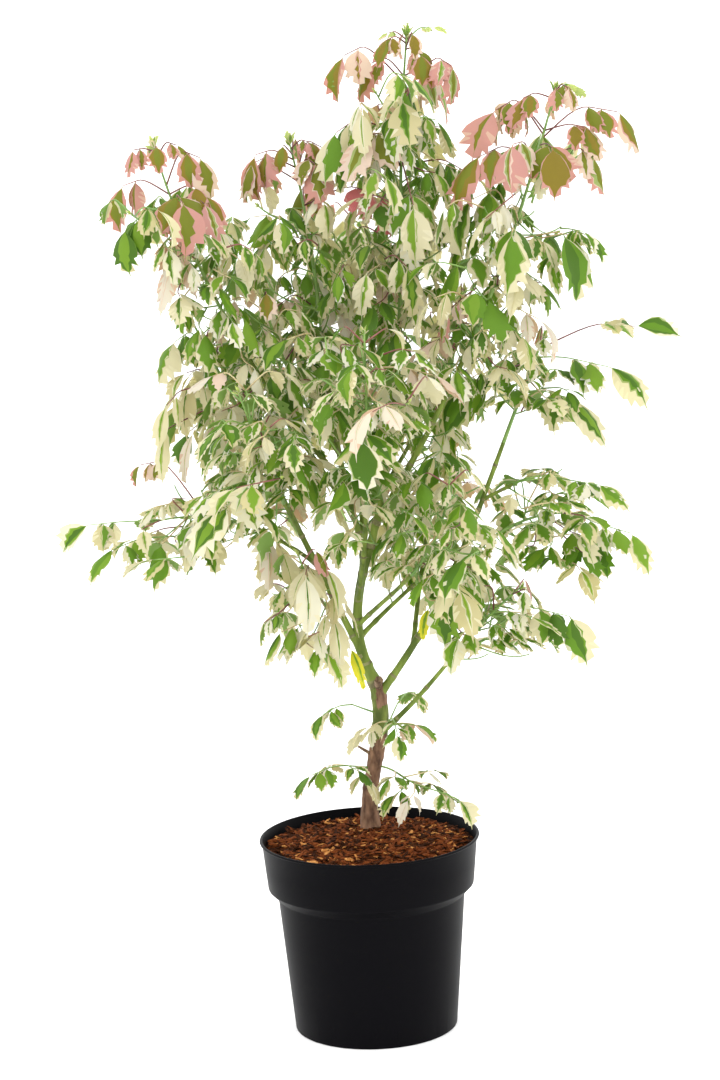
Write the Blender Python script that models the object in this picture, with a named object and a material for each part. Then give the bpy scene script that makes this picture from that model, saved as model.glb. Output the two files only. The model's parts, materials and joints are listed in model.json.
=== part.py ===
"""Potted flamingo box elder: a young multi-stemmed shrub in a round nursery pot.

Metres, +Z up. The origin is the centre of the pot's flat underside, and the plant is seen from -Y.
Each shoot is one smooth curve: its woody lower stretch is a bough, and its leafy upper stretch is
the stem of one mass of foliage. Each mass keeps to the part of the crown nearest its own stem.
"""

import math
import random

import bmesh
import bpy
import numpy as np
from mathutils import Quaternion, Vector
from mathutils.bvhtree import BVHTree

GAP = 0.0003
UP = Vector((0, 0, 1))

# Pot: a turned plastic shell with a deep band below its rolled rim.
POT_HEIGHT = 0.214
RIM_RADIUS = 0.120
LIP_DEPTH = 0.0035
LIP_WIDTH = 0.0032
BAND_TOP_RADIUS = 0.1175
BAND_FOOT_RADIUS = 0.1125
BAND_FOOT_HEIGHT = 0.160
BODY_TOP_RADIUS = 0.102
BODY_TOP_HEIGHT = 0.149
BASE_RADIUS = 0.089
WALL = 0.002
FLOOR_THICKNESS = 0.0025
FOOT_DISC_RADIUS = 0.060
FOOT_GROOVE_HEIGHT = 0.006
FOOT_EDGE = 0.0015
POT_SIDES = 30
NOTCH_COUNT = 8
NOTCH_WIDTH = 0.020
NOTCH_HEIGHT = 0.005
NOTCH_LENGTH = 0.024
FIRST_NOTCH_TURN = math.radians(-83)

# Soil: fills the pot and rises to a low mound of bark mulch round the trunk.
SOIL_CROWN_HEIGHT = 0.2125
SOIL_EDGE_DROP = 0.0095
SOIL_ROUGHNESS = 0.0012
SOIL_FLAT_RADIUS = 0.016
SOIL_RINGS = 2

# Trunk: brown, leaning right in a shallow S, cut flat where it meets the mulch.
TRUNK_FOOT = Vector((0.002, 0.034, SOIL_CROWN_HEIGHT + GAP))
TRUNK_FORK = Vector((0.0145, 0.028, 0.374))
TRUNK_LEAVE = Vector((-0.10, -0.02, 1.0))
TRUNK_HEADING = Vector((-0.22, -0.02, 1.0))
TRUNK_RADII = (0.0112, 0.0090, 0.0083, 0.0084, 0.0092, 0.0088, 0.0080)
TRUNK_SIDES = 10
TRUNK_RINGS = 10

# Shoots. Each row gives the shoot that carries it, how far along that one it starts, its tip, the
# way it leaves and the way it ends up pointing, the radii at both ends, its leafy length, and how
# far its leaflets hang, from 0 for level to 1 for nearly straight down.
SHOOTS = (
    (
        "main", "trunk", 1.00, (0.013, 0.020, 0.528), (-0.50, -0.05, 1.0), (0.35, -0.05, 1.0),
        0.0060, 0.0046, 0.0, 0.0,
    ),
    (
        "centre", "main", 1.00, (0.073, 0.030, 1.070), (0.30, 0.02, 1.0), (0.12, 0.02, 1.0),
        0.0040, 0.0013, 0.300, 0.95,
    ),
    (
        "right_high", "centre", 0.05, (0.223, -0.030, 1.008), (0.62, -0.30, 1.0), (0.30, -0.05, 1.0),
        0.0036, 0.0013, 0.280, 0.95,
    ),
    (
        "left_centre", "main", 0.93, (-0.055, 0.050, 0.962), (-0.30, 0.10, 1.0), (-0.22, 0.05, 1.0),
        0.0036, 0.0013, 0.240, 0.90,
    ),
    (
        "left_high", "left_centre", 0.10, (-0.194, -0.040, 0.968), (-0.55, -0.55, 1.0),
        (-0.25, -0.05, 1.0), 0.0031, 0.0012, 0.260, 0.95,
    ),
    (
        "right", "trunk", 0.93, (0.207, 0.018, 0.748), (0.78, -0.10, 1.0), (0.45, 0.00, 1.0),
        0.0042, 0.0015, 0.120, 0.65,
    ),
    (
        "right_low", "trunk", 0.66, (0.170, -0.045, 0.490), (1.15, -0.25, 1.0), (0.80, -0.30, 0.70),
        0.0030, 0.0013, 0.090, 0.70,
    ),
    (
        "right_inner", "main", 0.36, (0.125, 0.070, 0.540), (0.95, 0.30, 0.90), (0.70, 0.25, 0.75),
        0.0028, 0.0013, 0.090, 0.75,
    ),
    (
        "right_reach", "right", 0.34, (0.244, 0.042, 0.552), (0.70, 0.50, 0.75), (1.00, 0.05, -0.20),
        0.0024, 0.0012, 0.100, 0.60,
    ),
    (
        "right_side", "right", 0.57, (0.208, -0.020, 0.606), (0.95, -0.30, 0.45), (1.00, -0.05, 0.00),
        0.0020, 0.0012, 0.045, 0.45,
    ),
    (
        "left", "main", 0.22, (-0.170, 0.010, 0.790), (-0.45, -0.12, 1.0), (-0.45, 0.00, 0.95),
        0.0040, 0.0013, 0.230, 0.75,
    ),
    (
        "low_left", "left", 0.28, (-0.218, -0.030, 0.574), (-0.90, -0.15, 0.75), (-1.00, -0.05, -0.20),
        0.0024, 0.0011, 0.135, 0.60,
    ),
    (
        "low_front", "left", 0.12, (-0.062, -0.080, 0.540), (-0.80, -0.80, 0.80), (-0.25, -0.40, 0.85),
        0.0022, 0.0012, 0.100, 1.00,
    ),
    (
        "front", "main", 0.62, (0.015, -0.165, 0.780), (0.15, -0.95, 1.0), (0.00, -0.25, 1.0),
        0.0031, 0.0013, 0.220, 0.72,
    ),
    (
        "front_left", "left", 0.36, (-0.114, -0.148, 0.722), (-0.40, -0.95, 1.0), (-0.30, -0.30, 1.0),
        0.0026, 0.0012, 0.180, 0.70,
    ),
    (
        "front_right", "main", 0.45, (0.097, -0.142, 0.628), (0.75, -1.00, 0.90), (0.10, -0.30, 1.0),
        0.0027, 0.0012, 0.150, 0.68,
    ),
    (
        "back", "main", 0.80, (0.010, 0.205, 0.880), (0.05, 0.95, 1.0), (0.00, 0.20, 1.0),
        0.0032, 0.0013, 0.240, 0.80,
    ),
    (
        "back_left", "left_centre", 0.18, (-0.135, 0.185, 0.745), (-0.80, 0.75, 1.0), (-0.35, 0.35, 1.0),
        0.0027, 0.0012, 0.190, 0.80,
    ),
    (
        "back_right", "right", 0.16, (0.115, 0.190, 0.710), (0.15, 0.95, 1.0), (0.15, 0.30, 1.0),
        0.0028, 0.0012, 0.180, 0.80,
    ),
    (
        "inner_right", "centre", 0.12, (0.125, 0.030, 0.800), (0.75, 0.60, 1.0), (0.25, -0.05, 1.0),
        0.0025, 0.0012, 0.150, 0.78,
    ),
    (
        "inner_left", "left_centre", 0.26, (-0.090, -0.030, 0.810), (-0.65, -0.25, 1.0),
        (-0.25, -0.10, 1.0), 0.0024, 0.0012, 0.140, 0.78,
    ),
)

# Leaves that reach out past their neighbours. Each row gives the mass, how far below its tip the
# leaf springs, its bearing in degrees from +X, its stalk and leaflet lengths, its rise above the
# level, how far its leaflets hang, and its pairs of leaflets.
REACHING_LEAVES = (
    ("right", 0.012, -3, 0.090, 0.048, 22, 0.25, 2),
    ("right", 0.022, -20, 0.040, 0.062, 4, 0.75, 2),
    ("right", 0.070, 172, 0.044, 0.060, 30, 0.85, 1),
    ("right_high", 0.155, 2, 0.050, 0.070, 8, 1.05, 1),
    ("right_high", 0.048, -2, 0.070, 0.048, 38, 1.00, 2),
    ("right_high", 0.044, 178, 0.066, 0.054, 58, 1.05, 1),
    ("left_high", 0.122, 178, 0.024, 0.058, 14, 1.05, 1),
    ("left_high", 0.050, 178, 0.044, 0.048, 34, 1.05, 1),
    ("left_high", 0.040, -10, 0.056, 0.048, 68, 1.05, 1),
    ("centre", 0.046, 182, 0.078, 0.052, 48, 1.05, 1),
    ("centre", 0.070, -2, 0.066, 0.054, 66, 1.00, 1),
    ("left_centre", 0.024, 180, 0.046, 0.042, 34, 1.00, 1),
    ("left_centre", 0.030, -2, 0.052, 0.042, 74, 1.00, 1),
    ("left", 0.092, 186, 0.038, 0.062, 20, 1.05, 1),
    ("left", 0.150, 182, 0.060, 0.066, 20, 1.00, 1),
    ("low_left", 0.008, 184, 0.050, 0.045, 2, 0.60, 2),
    ("right_reach", 0.006, -8, 0.032, 0.050, -26, 0.80, 2),
    ("right_side", 0.006, -4, 0.040, 0.042, 0, 0.50, 2),
    ("right_low", 0.020, 0, 0.036, 0.054, 0, 0.95, 2),
    ("low_front", 0.012, 205, 0.050, 0.060, 20, 0.95, 2),
    ("low_front", 0.050, 178, 0.046, 0.060, 10, 1.00, 2),
    ("inner_right", 0.020, 185, 0.052, 0.055, 45, 1.05, 1),
    ("inner_right", 0.020, 5, 0.050, 0.055, 40, 1.05, 1),
    ("right_high", 0.150, 184, 0.070, 0.066, 56, 1.05, 1),
    ("inner_left", 0.020, 180, 0.045, 0.052, 40, 1.05, 1),
    ("left_centre", 0.100, 180, 0.064, 0.062, 24, 1.00, 1),
    ("centre", 0.125, -4, 0.080, 0.062, 30, 1.00, 1),
    ("centre", 0.135, 184, 0.070, 0.062, 30, 1.00, 1),
)

# Windows of sky in the crown as it is seen from the front: left, right, low and high.
SKY = (
    (0.128, 0.205, 0.612, 0.668),
    (-0.40, -0.118, 0.20, 0.490),
    (0.225, 0.420, 0.606, 0.628),
    (0.150, 0.420, 0.20, 0.385),
    (-0.40, -0.212, 0.640, 0.715),
    (-0.40, -0.178, 0.715, 0.775),
    (-0.40, -0.208, 0.775, 0.862),
    (-0.40, -0.262, 0.862, 1.200),
    (-0.131, -0.106, 0.905, 0.980),
    (0.118, 0.150, 0.945, 1.005),
    (0.275, 0.420, 0.775, 0.928),
    (0.205, 0.420, 0.868, 0.900),
)
EYE_DISTANCE = 3.17
EYE_HEIGHT = 1.094

# Leaves that spring straight from the trunk: how far up it, the tip of the twig, and the way it
# leaves.
TRUNK_TWIGS = (
    ("trunk_leaf_left", 0.80, (-0.014, -0.005, 0.362), (-1.0, -0.45, 0.45)),
    ("trunk_leaf_low_left", 0.42, (-0.024, 0.004, 0.292), (-1.0, -0.35, 0.25)),
    ("trunk_leaf_right", 0.44, (0.056, -0.005, 0.268), (1.0, -0.40, 0.00)),
    ("trunk_leaf_back", 0.60, (0.038, 0.078, 0.343), (0.55, 1.0, 0.60)),
    ("trunk_leaf_front", 0.66, (0.026, -0.012, 0.345), (0.30, -1.0, 0.60)),
)
TRUNK_TWIG_RADII = (0.0016, 0.0011)

BOUGH_SIDES = 6
BOUGH_RING_STEP = 0.036
CURVE_STEPS = 48
HANDLE_SHARE = 0.38

# Pruned ends left on the trunk's top and flank.
STUBS = (
    ("pruned_stub", 0.985, (0.10, -0.85, 0.55), 0.0046, 0.0050, 0.011),
    ("dead_twig", 0.50, (-1.0, -0.35, 0.75), 0.0022, 0.0015, 0.014),
)

# Foliage: opposite leaves, each a stalk with three to five hanging leaflets.
TWIG_SIDES = 3
TWIG_FATNESS = 1.5
STALK_ROOT_RADIUS = 0.0012
STALK_END_RADIUS = 0.0009
STALK_ROOT_OFFSET = 0.0007
PAIR_ROOT = 0.0036
FIRST_NODE = 0.010
FIRST_INTERNODE = 0.030
INTERNODE_GROWTH = 1.25
LONGEST_INTERNODE = 0.045
FULL_LEAFLET = 0.070
YOUNG_LEAFLET = 0.032
LEAFLET_GROWTH = 0.014
TRUNK_LEAFLET = 0.036
LEAFLET_WIDTH_SHARE = 0.58
LEAFLET_WIDEST = 0.40
LEAFLET_THICKNESS = 0.0018

# How a leaf varies: ranges in degrees or as shares, each drawn anew for every leaf or leaflet.
STALK_DIP = (5, 35)
STALK_BEND = 0.70
STALK_REST = 0.10
LEAFLET_SPACING = 0.37
HANG_SPREAD = (0.88, 1.12)
PAIR_TURN = (58, 84)
PAIR_DROOP = (54, 76)
PAIR_ROLL = (-6, 18)
PAIR_LENGTH = (0.84, 1.00)
PAIR_SHRINK = 0.07
STEEPEST_DROOP = 78
END_TURN = (-12, 12)
END_DROOP = (62, 84)
END_ROLL = (-16, 16)
END_LENGTH = (1.02, 1.18)
WIDTH_SPREAD = (0.90, 1.18)
LEAF_SWING = (-14, 14)
SWING_GROWTH = 0.25
LEAF_RISE = (36, 60)
TRY_SHRINK = 0.018
STALK_SHARE = (0.85, 1.25)
PLACED_TURN = (-6, 6)
PLACED_LIFT = (-4, 4)

# Side twigs: short, from every second node, each with a pair of leaves.
SIDE_TWIG_LENGTH = 0.070
SIDE_TWIG_RADII = (0.0019, 0.0016)
SIDE_TWIG_SPREAD = (0.7, 1.2)
SIDE_TWIG_SETBACK = 0.012
SIDE_LEAFLET_SHARE = 0.8

# How the masses keep apart: tries for each leaf, margins, and the points that stand for a stem.
TRIES = 24
SPACE_MARGIN = 0.0012
LIMB_MARGIN = 0.0010
SPACE_POINTS = 5
SPACE_SAG = 0.018

COLOURS = {
    "pot": ((0.014, 0.013, 0.017, 1), 0.38),
    "soil": ((0.16, 0.055, 0.022, 1), 0.95),
    "trunk": ((0.16, 0.095, 0.055, 1), 0.85),
    "bough": ((0.13, 0.26, 0.06, 1), 0.60),
    "foliage": ((0.42, 0.50, 0.22, 1), 0.65),
}


def material(name):
    """Gives the named Principled material, made once."""
    made = bpy.data.materials.get(name)
    if made is None:
        colour, roughness = COLOURS[name]
        made = bpy.data.materials.new(name)
        made.use_nodes = True
        shader = made.node_tree.nodes["Principled BSDF"]
        shader.inputs["Base Color"].default_value = colour
        shader.inputs["Roughness"].default_value = roughness
        made.diffuse_color = colour
    return made


def face_out(shell):
    """Turns the faces of a closed mesh outwards."""
    bmesh.ops.recalc_face_normals(shell, faces=shell.faces)
    if shell.calc_volume(signed=True) < 0:
        bmesh.ops.reverse_faces(shell, faces=shell.faces)


def add_object(name, points, faces, finish=None):
    """Makes a mesh object from points and faces, with its normals facing out."""
    mesh = bpy.data.meshes.new(name)
    mesh.from_pydata([tuple(point) for point in points], [], faces)
    shell = bmesh.new()
    shell.from_mesh(mesh)
    face_out(shell)
    shell.to_mesh(mesh)
    shell.free()
    item = bpy.data.objects.new(name, mesh)
    bpy.context.scene.collection.objects.link(item)
    if finish:
        mesh.materials.append(material(finish))
    return item


def bezier(ends, share):
    """Gives the point of a cubic curve at a share of its length."""
    first, second, third, last = ends
    rest = 1 - share
    return (
        first * rest**3
        + second * (3 * rest**2 * share)
        + third * (3 * rest * share**2)
        + last * share**3
    )


class Curve:
    """A smooth limb axis, sampled evenly enough to be read by its length."""

    def __init__(self, start, tip, leave, heading):
        reach = (tip - start).length * HANDLE_SHARE
        ends = (start, start + leave.normalized() * reach, tip - heading.normalized() * reach, tip)
        self.points = [bezier(ends, step / CURVE_STEPS) for step in range(CURVE_STEPS + 1)]
        self.lengths = [0.0]
        for before, after in zip(self.points, self.points[1:]):
            self.lengths.append(self.lengths[-1] + (after - before).length)
        self.length = self.lengths[-1]

    def at(self, distance):
        """Gives the point and the direction at a distance from the start."""
        distance = min(max(distance, 0.0), self.length)
        for step in range(1, CURVE_STEPS + 1):
            if self.lengths[step] >= distance:
                break
        before, after = self.points[step - 1], self.points[step]
        span = self.lengths[step] - self.lengths[step - 1]
        share = (distance - self.lengths[step - 1]) / span
        return before.lerp(after, share), (after - before).normalized()


def square_to(direction):
    """Gives two unit vectors square to a direction and to each other."""
    across = direction.cross(UP)
    if across.length < 0.05:
        across = direction.cross(Vector((1, 0, 0)))
    across.normalize()
    return across, across.cross(direction).normalized()


def tube(points, radii, sides, mitre=None):
    """Gives the points and faces of a closed tapering tube through the points.

    mitre is a point and a unit normal: the first ring is slid along the tube onto that plane.
    """
    rings = []
    across, above = square_to((points[1] - points[0]).normalized())
    for place, point in enumerate(points):
        ahead = points[min(place + 1, len(points) - 1)] - points[max(place - 1, 0)]
        ahead.normalize()
        across = (across - ahead * across.dot(ahead)).normalized()
        above = across.cross(ahead)
        ring = []
        for side in range(sides):
            turn = 2 * math.pi * side / sides
            ring.append(point + (across * math.cos(turn) + above * math.sin(turn)) * radii[place])
        rings.append(ring)
    if mitre:
        origin, normal = mitre
        ahead = (points[1] - points[0]).normalized()
        slant = ahead.dot(normal)
        rings[0] = [spot - ahead * ((spot - origin).dot(normal) / slant) for spot in rings[0]]
    faces = [list(range(sides)), list(range((len(rings) - 1) * sides, len(rings) * sides))]
    for ring in range(len(rings) - 1):
        for side in range(sides):
            low = ring * sides + side
            low_next = ring * sides + (side + 1) % sides
            faces.append([low, low_next, low_next + sides, low + sides])
    return [spot for ring in rings for spot in ring], faces


def blade_ring(root, ahead, face, length, width):
    """Gives a leaflet's widest ring, as its two edges, its top and its underside, and its tip."""
    middle = root + ahead * (length * LEAFLET_WIDEST)
    side = ahead.cross(face).normalized() * (width / 2)
    lift = face * (LEAFLET_THICKNESS / 2)
    return [middle - side, middle + lift, middle + side, middle - lift], root + ahead * length


def leaf_solid(places, radii, level, pairs, last):
    """Gives one leaf as a single closed solid.

    The stalk is three-sided with its keel down, and has a ring at each place along it. A pair of
    leaflets grows from its two lower flanks between the rings that pairs names, and its end bends
    into the last leaflet.
    """
    across = level.cross(UP)
    points = []
    for place, point in enumerate(places):
        way = (places[min(place + 1, len(places) - 1)] - places[max(place - 1, 0)]).normalized()
        if place == len(places) - 1:
            way = (way + last[1]).normalized()
        flat = (across - way * across.dot(way)).normalized()
        above = flat.cross(way)
        for turn in (150, 270, 30):
            angle = math.radians(turn)
            points.append(point + (flat * math.cos(angle) + above * math.sin(angle)) * radii[place])
    faces = [[0, 1, 2]]
    flanks = {}
    for ring in range(len(places) - 1):
        for side in range(3):
            low, after = 3 * ring + side, 3 * ring + (side + 1) % 3
            flanks[ring, side] = [low, after, after + 3, low + 3]
    for ring, both in pairs.items():
        left_back, keel_back, keel_front, left_front = flanks.pop((ring, 0))
        add_blade(points, faces, [left_back, keel_back, keel_front, left_front], both[0])
        keel_back, right_back, right_front, keel_front = flanks.pop((ring, 1))
        add_blade(points, faces, [right_back, keel_back, keel_front, right_front], both[1])
    faces += flanks.values()
    end = 3 * (len(places) - 1)
    ring, tip = blade_ring(*last)
    left, top, right, low, point = range(len(points), len(points) + 5)
    points += ring + [tip]
    faces += [[end, end + 1, low, left], [end + 1, end + 2, right, low]]
    faces += [[end + 2, end, top], [end, left, top], [end + 2, top, right]]
    faces += [[left, top, point], [top, right, point], [right, low, point], [low, left, point]]
    return points, faces


def spokes(corners, ahead):
    """Gives unit vectors from the middle of four corners to each of them, seen along a direction."""
    middle = sum(corners, Vector()) / 4
    flat = [corner - middle - ahead * (corner - middle).dot(ahead) for corner in corners]
    return [spoke.normalized() for spoke in flat]


def add_blade(points, faces, root, leaflet):
    """Adds a side leaflet that grows from the four corners of one lower flank of the stalk.

    The corners of its widest ring are paired with those of the flank so that it twists least.
    """
    ring, tip = blade_ring(*leaflet)
    ahead = leaflet[1]
    start = spokes([points[corner] for corner in root], ahead)
    aims = spokes(ring, ahead)
    if start[0].cross(start[1]).dot(ahead) * aims[0].cross(aims[1]).dot(ahead) < 0:
        ring.reverse()
        aims.reverse()

    def likeness(turn):
        return sum(start[side].dot(aims[(side + turn) % 4]) for side in range(4))

    twist = max(range(4), key=likeness)
    first = len(points)
    points += ring[twist:] + ring[:twist] + [tip]
    for side in range(4):
        after = (side + 1) % 4
        faces.append([root[side], root[after], first + after])
        faces.append([root[side], first + after, first + side])
        faces.append([first + side, first + after, first + 4])


def turned(profile, sides):
    """Gives the points and faces of a closed profile turned about Z.

    The profile's first and last points lie on the axis.
    """
    points = []
    faces = []
    rings = []
    for radius, height in profile:
        if radius == 0:
            rings.append([len(points)] * sides)
            points.append(Vector((0, 0, height)))
            continue
        rings.append(list(range(len(points), len(points) + sides)))
        for side in range(sides):
            turn = 2 * math.pi * side / sides
            points.append(Vector((radius * math.cos(turn), radius * math.sin(turn), height)))
    for low, high in zip(rings, rings[1:]):
        for side in range(sides):
            after = (side + 1) % sides
            corners = [low[side], low[after], high[after], high[side]]
            faces.append([corner for place, corner in enumerate(corners) if corner != corners[place - 1]])
    return points, faces


def inner_wall():
    """Gives the pot's inner wall from its floor up to the lip, as radius and height pairs."""
    floor = FOOT_GROOVE_HEIGHT + FLOOR_THICKNESS
    return (
        (BASE_RADIUS - WALL, floor),
        (BODY_TOP_RADIUS - WALL, BODY_TOP_HEIGHT + WALL / 2),
        (BAND_FOOT_RADIUS - WALL, BAND_FOOT_HEIGHT + WALL / 2),
        (BAND_TOP_RADIUS - WALL, POT_HEIGHT - LIP_DEPTH),
    )


def build_pot():
    """Builds the pot's shell with its band, rolled lip, foot groove and drainage notches."""
    lip_middle = RIM_RADIUS - LIP_WIDTH / 2
    lip_round = LIP_DEPTH * 0.28
    outside = [
        (0, 0),
        (FOOT_DISC_RADIUS, 0),
        (FOOT_DISC_RADIUS + 0.002, FOOT_GROOVE_HEIGHT),
        (BASE_RADIUS - WALL - FOOT_EDGE, FOOT_GROOVE_HEIGHT),
        (BASE_RADIUS - WALL - FOOT_EDGE / 2, 0),
        (BASE_RADIUS - FOOT_EDGE, 0),
        (BASE_RADIUS, FOOT_EDGE),
        (BODY_TOP_RADIUS, BODY_TOP_HEIGHT),
        (BAND_FOOT_RADIUS, BAND_FOOT_HEIGHT),
        (BAND_TOP_RADIUS, POT_HEIGHT - LIP_DEPTH),
        (RIM_RADIUS, POT_HEIGHT - LIP_DEPTH * 0.8),
        (RIM_RADIUS, POT_HEIGHT - lip_round),
        (lip_middle, POT_HEIGHT),
        (RIM_RADIUS - LIP_WIDTH, POT_HEIGHT - lip_round),
    ]
    floor = [
        (FOOT_DISC_RADIUS + 0.001, FOOT_GROOVE_HEIGHT + FLOOR_THICKNESS),
        (FOOT_DISC_RADIUS - 0.001, FLOOR_THICKNESS),
        (0, FLOOR_THICKNESS),
    ]
    pot = add_object("pot", *turned(outside + list(reversed(inner_wall())) + floor, POT_SIDES), "pot")
    cutters = bpy.data.collections.new("pot_notches")
    for count in range(NOTCH_COUNT):
        turn = FIRST_NOTCH_TURN + 2 * math.pi * count / NOTCH_COUNT
        outward = Vector((math.cos(turn), math.sin(turn), 0))
        half_width = outward.cross(UP) * (NOTCH_WIDTH / 2)
        near = outward * (BASE_RADIUS - NOTCH_LENGTH / 2)
        far = outward * (BASE_RADIUS + NOTCH_LENGTH / 2)
        corners = [near + half_width, near - half_width, far - half_width, far + half_width]
        points = [corner + UP * height for height in (-NOTCH_HEIGHT, NOTCH_HEIGHT) for corner in corners]
        faces = [[0, 1, 2, 3], [4, 5, 6, 7], [0, 1, 5, 4], [1, 2, 6, 5], [2, 3, 7, 6], [3, 0, 4, 7]]
        cutter = add_object(f"notch_{count + 1}", points, faces)
        bpy.context.scene.collection.objects.unlink(cutter)
        cutter.hide_render = True
        cutter.display_type = "WIRE"
        cutters.objects.link(cutter)
    cut = pot.modifiers.new("notches", "BOOLEAN")
    cut.operation = "DIFFERENCE"
    cut.operand_type = "COLLECTION"
    cut.collection = cutters
    apply_modifiers(pot)
    for cutter in list(cutters.objects):
        bpy.data.objects.remove(cutter)
    bpy.data.collections.remove(cutters)
    pot.data.shade_smooth()
    pot.data.set_sharp_from_angle(angle=math.radians(25))
    return pot


def build_soil():
    """Builds the root ball that fills the pot, with its low rough mound of mulch."""
    rng = random.Random(5)
    wall = [(radius - GAP, height) for radius, height in inner_wall()]
    (low_radius, low), (mid_radius, mid), (step_radius, step), (top_radius, top) = wall
    edge_height = SOIL_CROWN_HEIGHT - SOIL_EDGE_DROP
    edge_radius = step_radius + (top_radius - step_radius) * (edge_height - step) / (top - step)
    floor = low + GAP
    profile = [
        (0, FLOOR_THICKNESS + GAP),
        (FOOT_DISC_RADIUS - 0.0015, FLOOR_THICKNESS + GAP),
        (FOOT_DISC_RADIUS + 0.0005, floor),
        (low_radius, floor),
        (mid_radius, mid),
        (step_radius, step),
        (edge_radius, edge_height),
    ]
    for ring in range(SOIL_RINGS, 0, -1):
        share = ring / (SOIL_RINGS + 1)
        profile.append((edge_radius * share, SOIL_CROWN_HEIGHT - SOIL_EDGE_DROP * share**2.5))
    profile.append((0, SOIL_CROWN_HEIGHT))
    points, faces = turned(profile, POT_SIDES)
    level = TRUNK_FOOT - UP * TRUNK_FOOT.z
    for point in points:
        from_trunk = (point - UP * point.z - level).length
        inside = Vector((point.x, point.y, 0)).length < edge_radius - 0.004
        if point.z > edge_height and inside:
            point.z += rng.uniform(-SOIL_ROUGHNESS, SOIL_ROUGHNESS)
            if from_trunk < SOIL_FLAT_RADIUS + 0.014:
                point.z = SOIL_CROWN_HEIGHT - SOIL_ROUGHNESS
    soil = add_object("soil", points, faces, "soil")
    soil.data.shade_smooth()
    return soil


def apply_modifiers(item):
    """Replaces an object's mesh by what its modifiers make of it."""
    graph = bpy.context.evaluated_depsgraph_get()
    mesh = bpy.data.meshes.new_from_object(item.evaluated_get(graph))
    old = item.data
    item.modifiers.clear()
    item.data = mesh
    bpy.data.meshes.remove(old)


def radius_along(radii, share):
    """Gives a radius read from evenly spaced radii at a share of the length."""
    place = min(share, 0.9999) * (len(radii) - 1)
    low = int(place)
    return radii[low] + (radii[low + 1] - radii[low]) * (place - low)


class Limb:
    """A shoot or the trunk: its axis, its radii, and where its bough gives way to foliage."""

    def __init__(self, name, curve, radii, parent=None, parent_distance=0.0, leafy=0.0, hang=0.8):
        self.name = name
        self.curve = curve
        self.radii = radii
        self.parent = parent
        self.parent_distance = parent_distance
        self.leafy = leafy
        self.hang = hang
        self.bare = curve.length - leafy

    def radius(self, distance):
        return radius_along(self.radii, distance / self.curve.length)

    def foot(self, margin):
        """Gives how far along the limb its foot clears its parent, and the plane it is cut on."""
        if self.parent is None:
            return 0.0, None
        point, ahead = self.curve.at(0)
        _, along = self.parent.curve.at(self.parent_distance)
        if self.parent_distance >= self.parent.curve.length:
            outward, clear = along, GAP
        else:
            outward = (ahead - along * ahead.dot(along)).normalized()
            clear = self.parent.radius(self.parent_distance) + GAP
        lean = ahead.dot(outward)
        shear = self.radii[0] * math.sqrt(max(0, 1 - lean**2)) / lean
        return clear / lean + shear + margin, (point + outward * clear, outward)

    def solid(self, first, last, sides, step, grow=0.0):
        """Gives the tube of the limb between two distances, thicker all round by grow."""
        start, mitre = self.foot(0.002)
        thicker = 1.0
        if first > 0 or self.parent is None:
            start, mitre = first, None
        if sides == TWIG_SIDES:
            thicker = TWIG_FATNESS
        rings = max(2, math.ceil((last - start) / step) + 1)
        places = [start + (last - start) * ring / (rings - 1) for ring in range(rings)]
        points = [self.curve.at(place)[0] for place in places]
        radii = [self.radius(place) * thicker + grow for place in places]
        if mitre:
            point, ahead = self.curve.at(0)
            points.insert(0, point + ahead * (places[0] * 0.5))
            radii.insert(0, radii[0])
        return tube(points, radii, sides, mitre)


def grow_limbs():
    """Gives the trunk and every shoot by name, each starting on the one that carries it."""
    trunk = Curve(TRUNK_FOOT, TRUNK_FORK, TRUNK_LEAVE, TRUNK_HEADING)
    limbs = {"trunk": Limb("trunk", trunk, TRUNK_RADII)}
    for name, parent, share, tip, leave, heading, thick, thin, leafy, hang in SHOOTS:
        carrier = limbs[parent]
        distance = carrier.curve.length * share
        start, _ = carrier.curve.at(distance)
        curve = Curve(start, Vector(tip), Vector(leave), Vector(heading))
        limbs[name] = Limb(name, curve, (thick, thin), carrier, distance, leafy, hang)
    for name, share, tip, leave in TRUNK_TWIGS:
        carrier = limbs["trunk"]
        distance = carrier.curve.length * share
        start, _ = carrier.curve.at(distance)
        curve = Curve(start, Vector(tip), Vector(leave), Vector(tip) - start)
        limbs[name] = Limb(name, curve, TRUNK_TWIG_RADII, carrier, distance, curve.length)
        limbs[name].bare = 0.0
    return limbs


class Space:
    """How the masses of foliage share the crown out: each keeps to what lies nearest its own stem."""

    def __init__(self, limbs):
        centres = []
        owners = []
        for limb in limbs.values():
            for count in range(SPACE_POINTS if limb.leafy else 0):
                share = count / (SPACE_POINTS - 1)
                point, _ = limb.curve.at(limb.curve.length - limb.leafy * share)
                centres.append(point - UP * SPACE_SAG)
                owners.append(limb.name)
        self.centres = np.array(centres)
        self.owners = np.array(owners)

    def holds(self, name, points, margin):
        """Says whether points all lie nearer the stem of a mass than any other, by a margin."""
        points = np.array(points)
        apart = np.linalg.norm(points[:, None] - self.centres[None], axis=2)
        own = apart[:, self.owners == name].min(axis=1)
        other = apart[:, self.owners != name].min(axis=1)
        return bool((other - own > 2 * margin).all())

    def shows_sky(self, points):
        """Says whether any point would cover one of the windows of sky, seen from the front."""
        points = np.array(points)
        nearer = EYE_DISTANCE / (EYE_DISTANCE + points[:, 1])
        across = points[:, 0] * nearer
        height = EYE_HEIGHT + (points[:, 2] - EYE_HEIGHT) * nearer
        for left, right, low, high in SKY:
            if ((across > left) & (across < right) & (height > low) & (height < high)).any():
                return True
        return False


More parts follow.
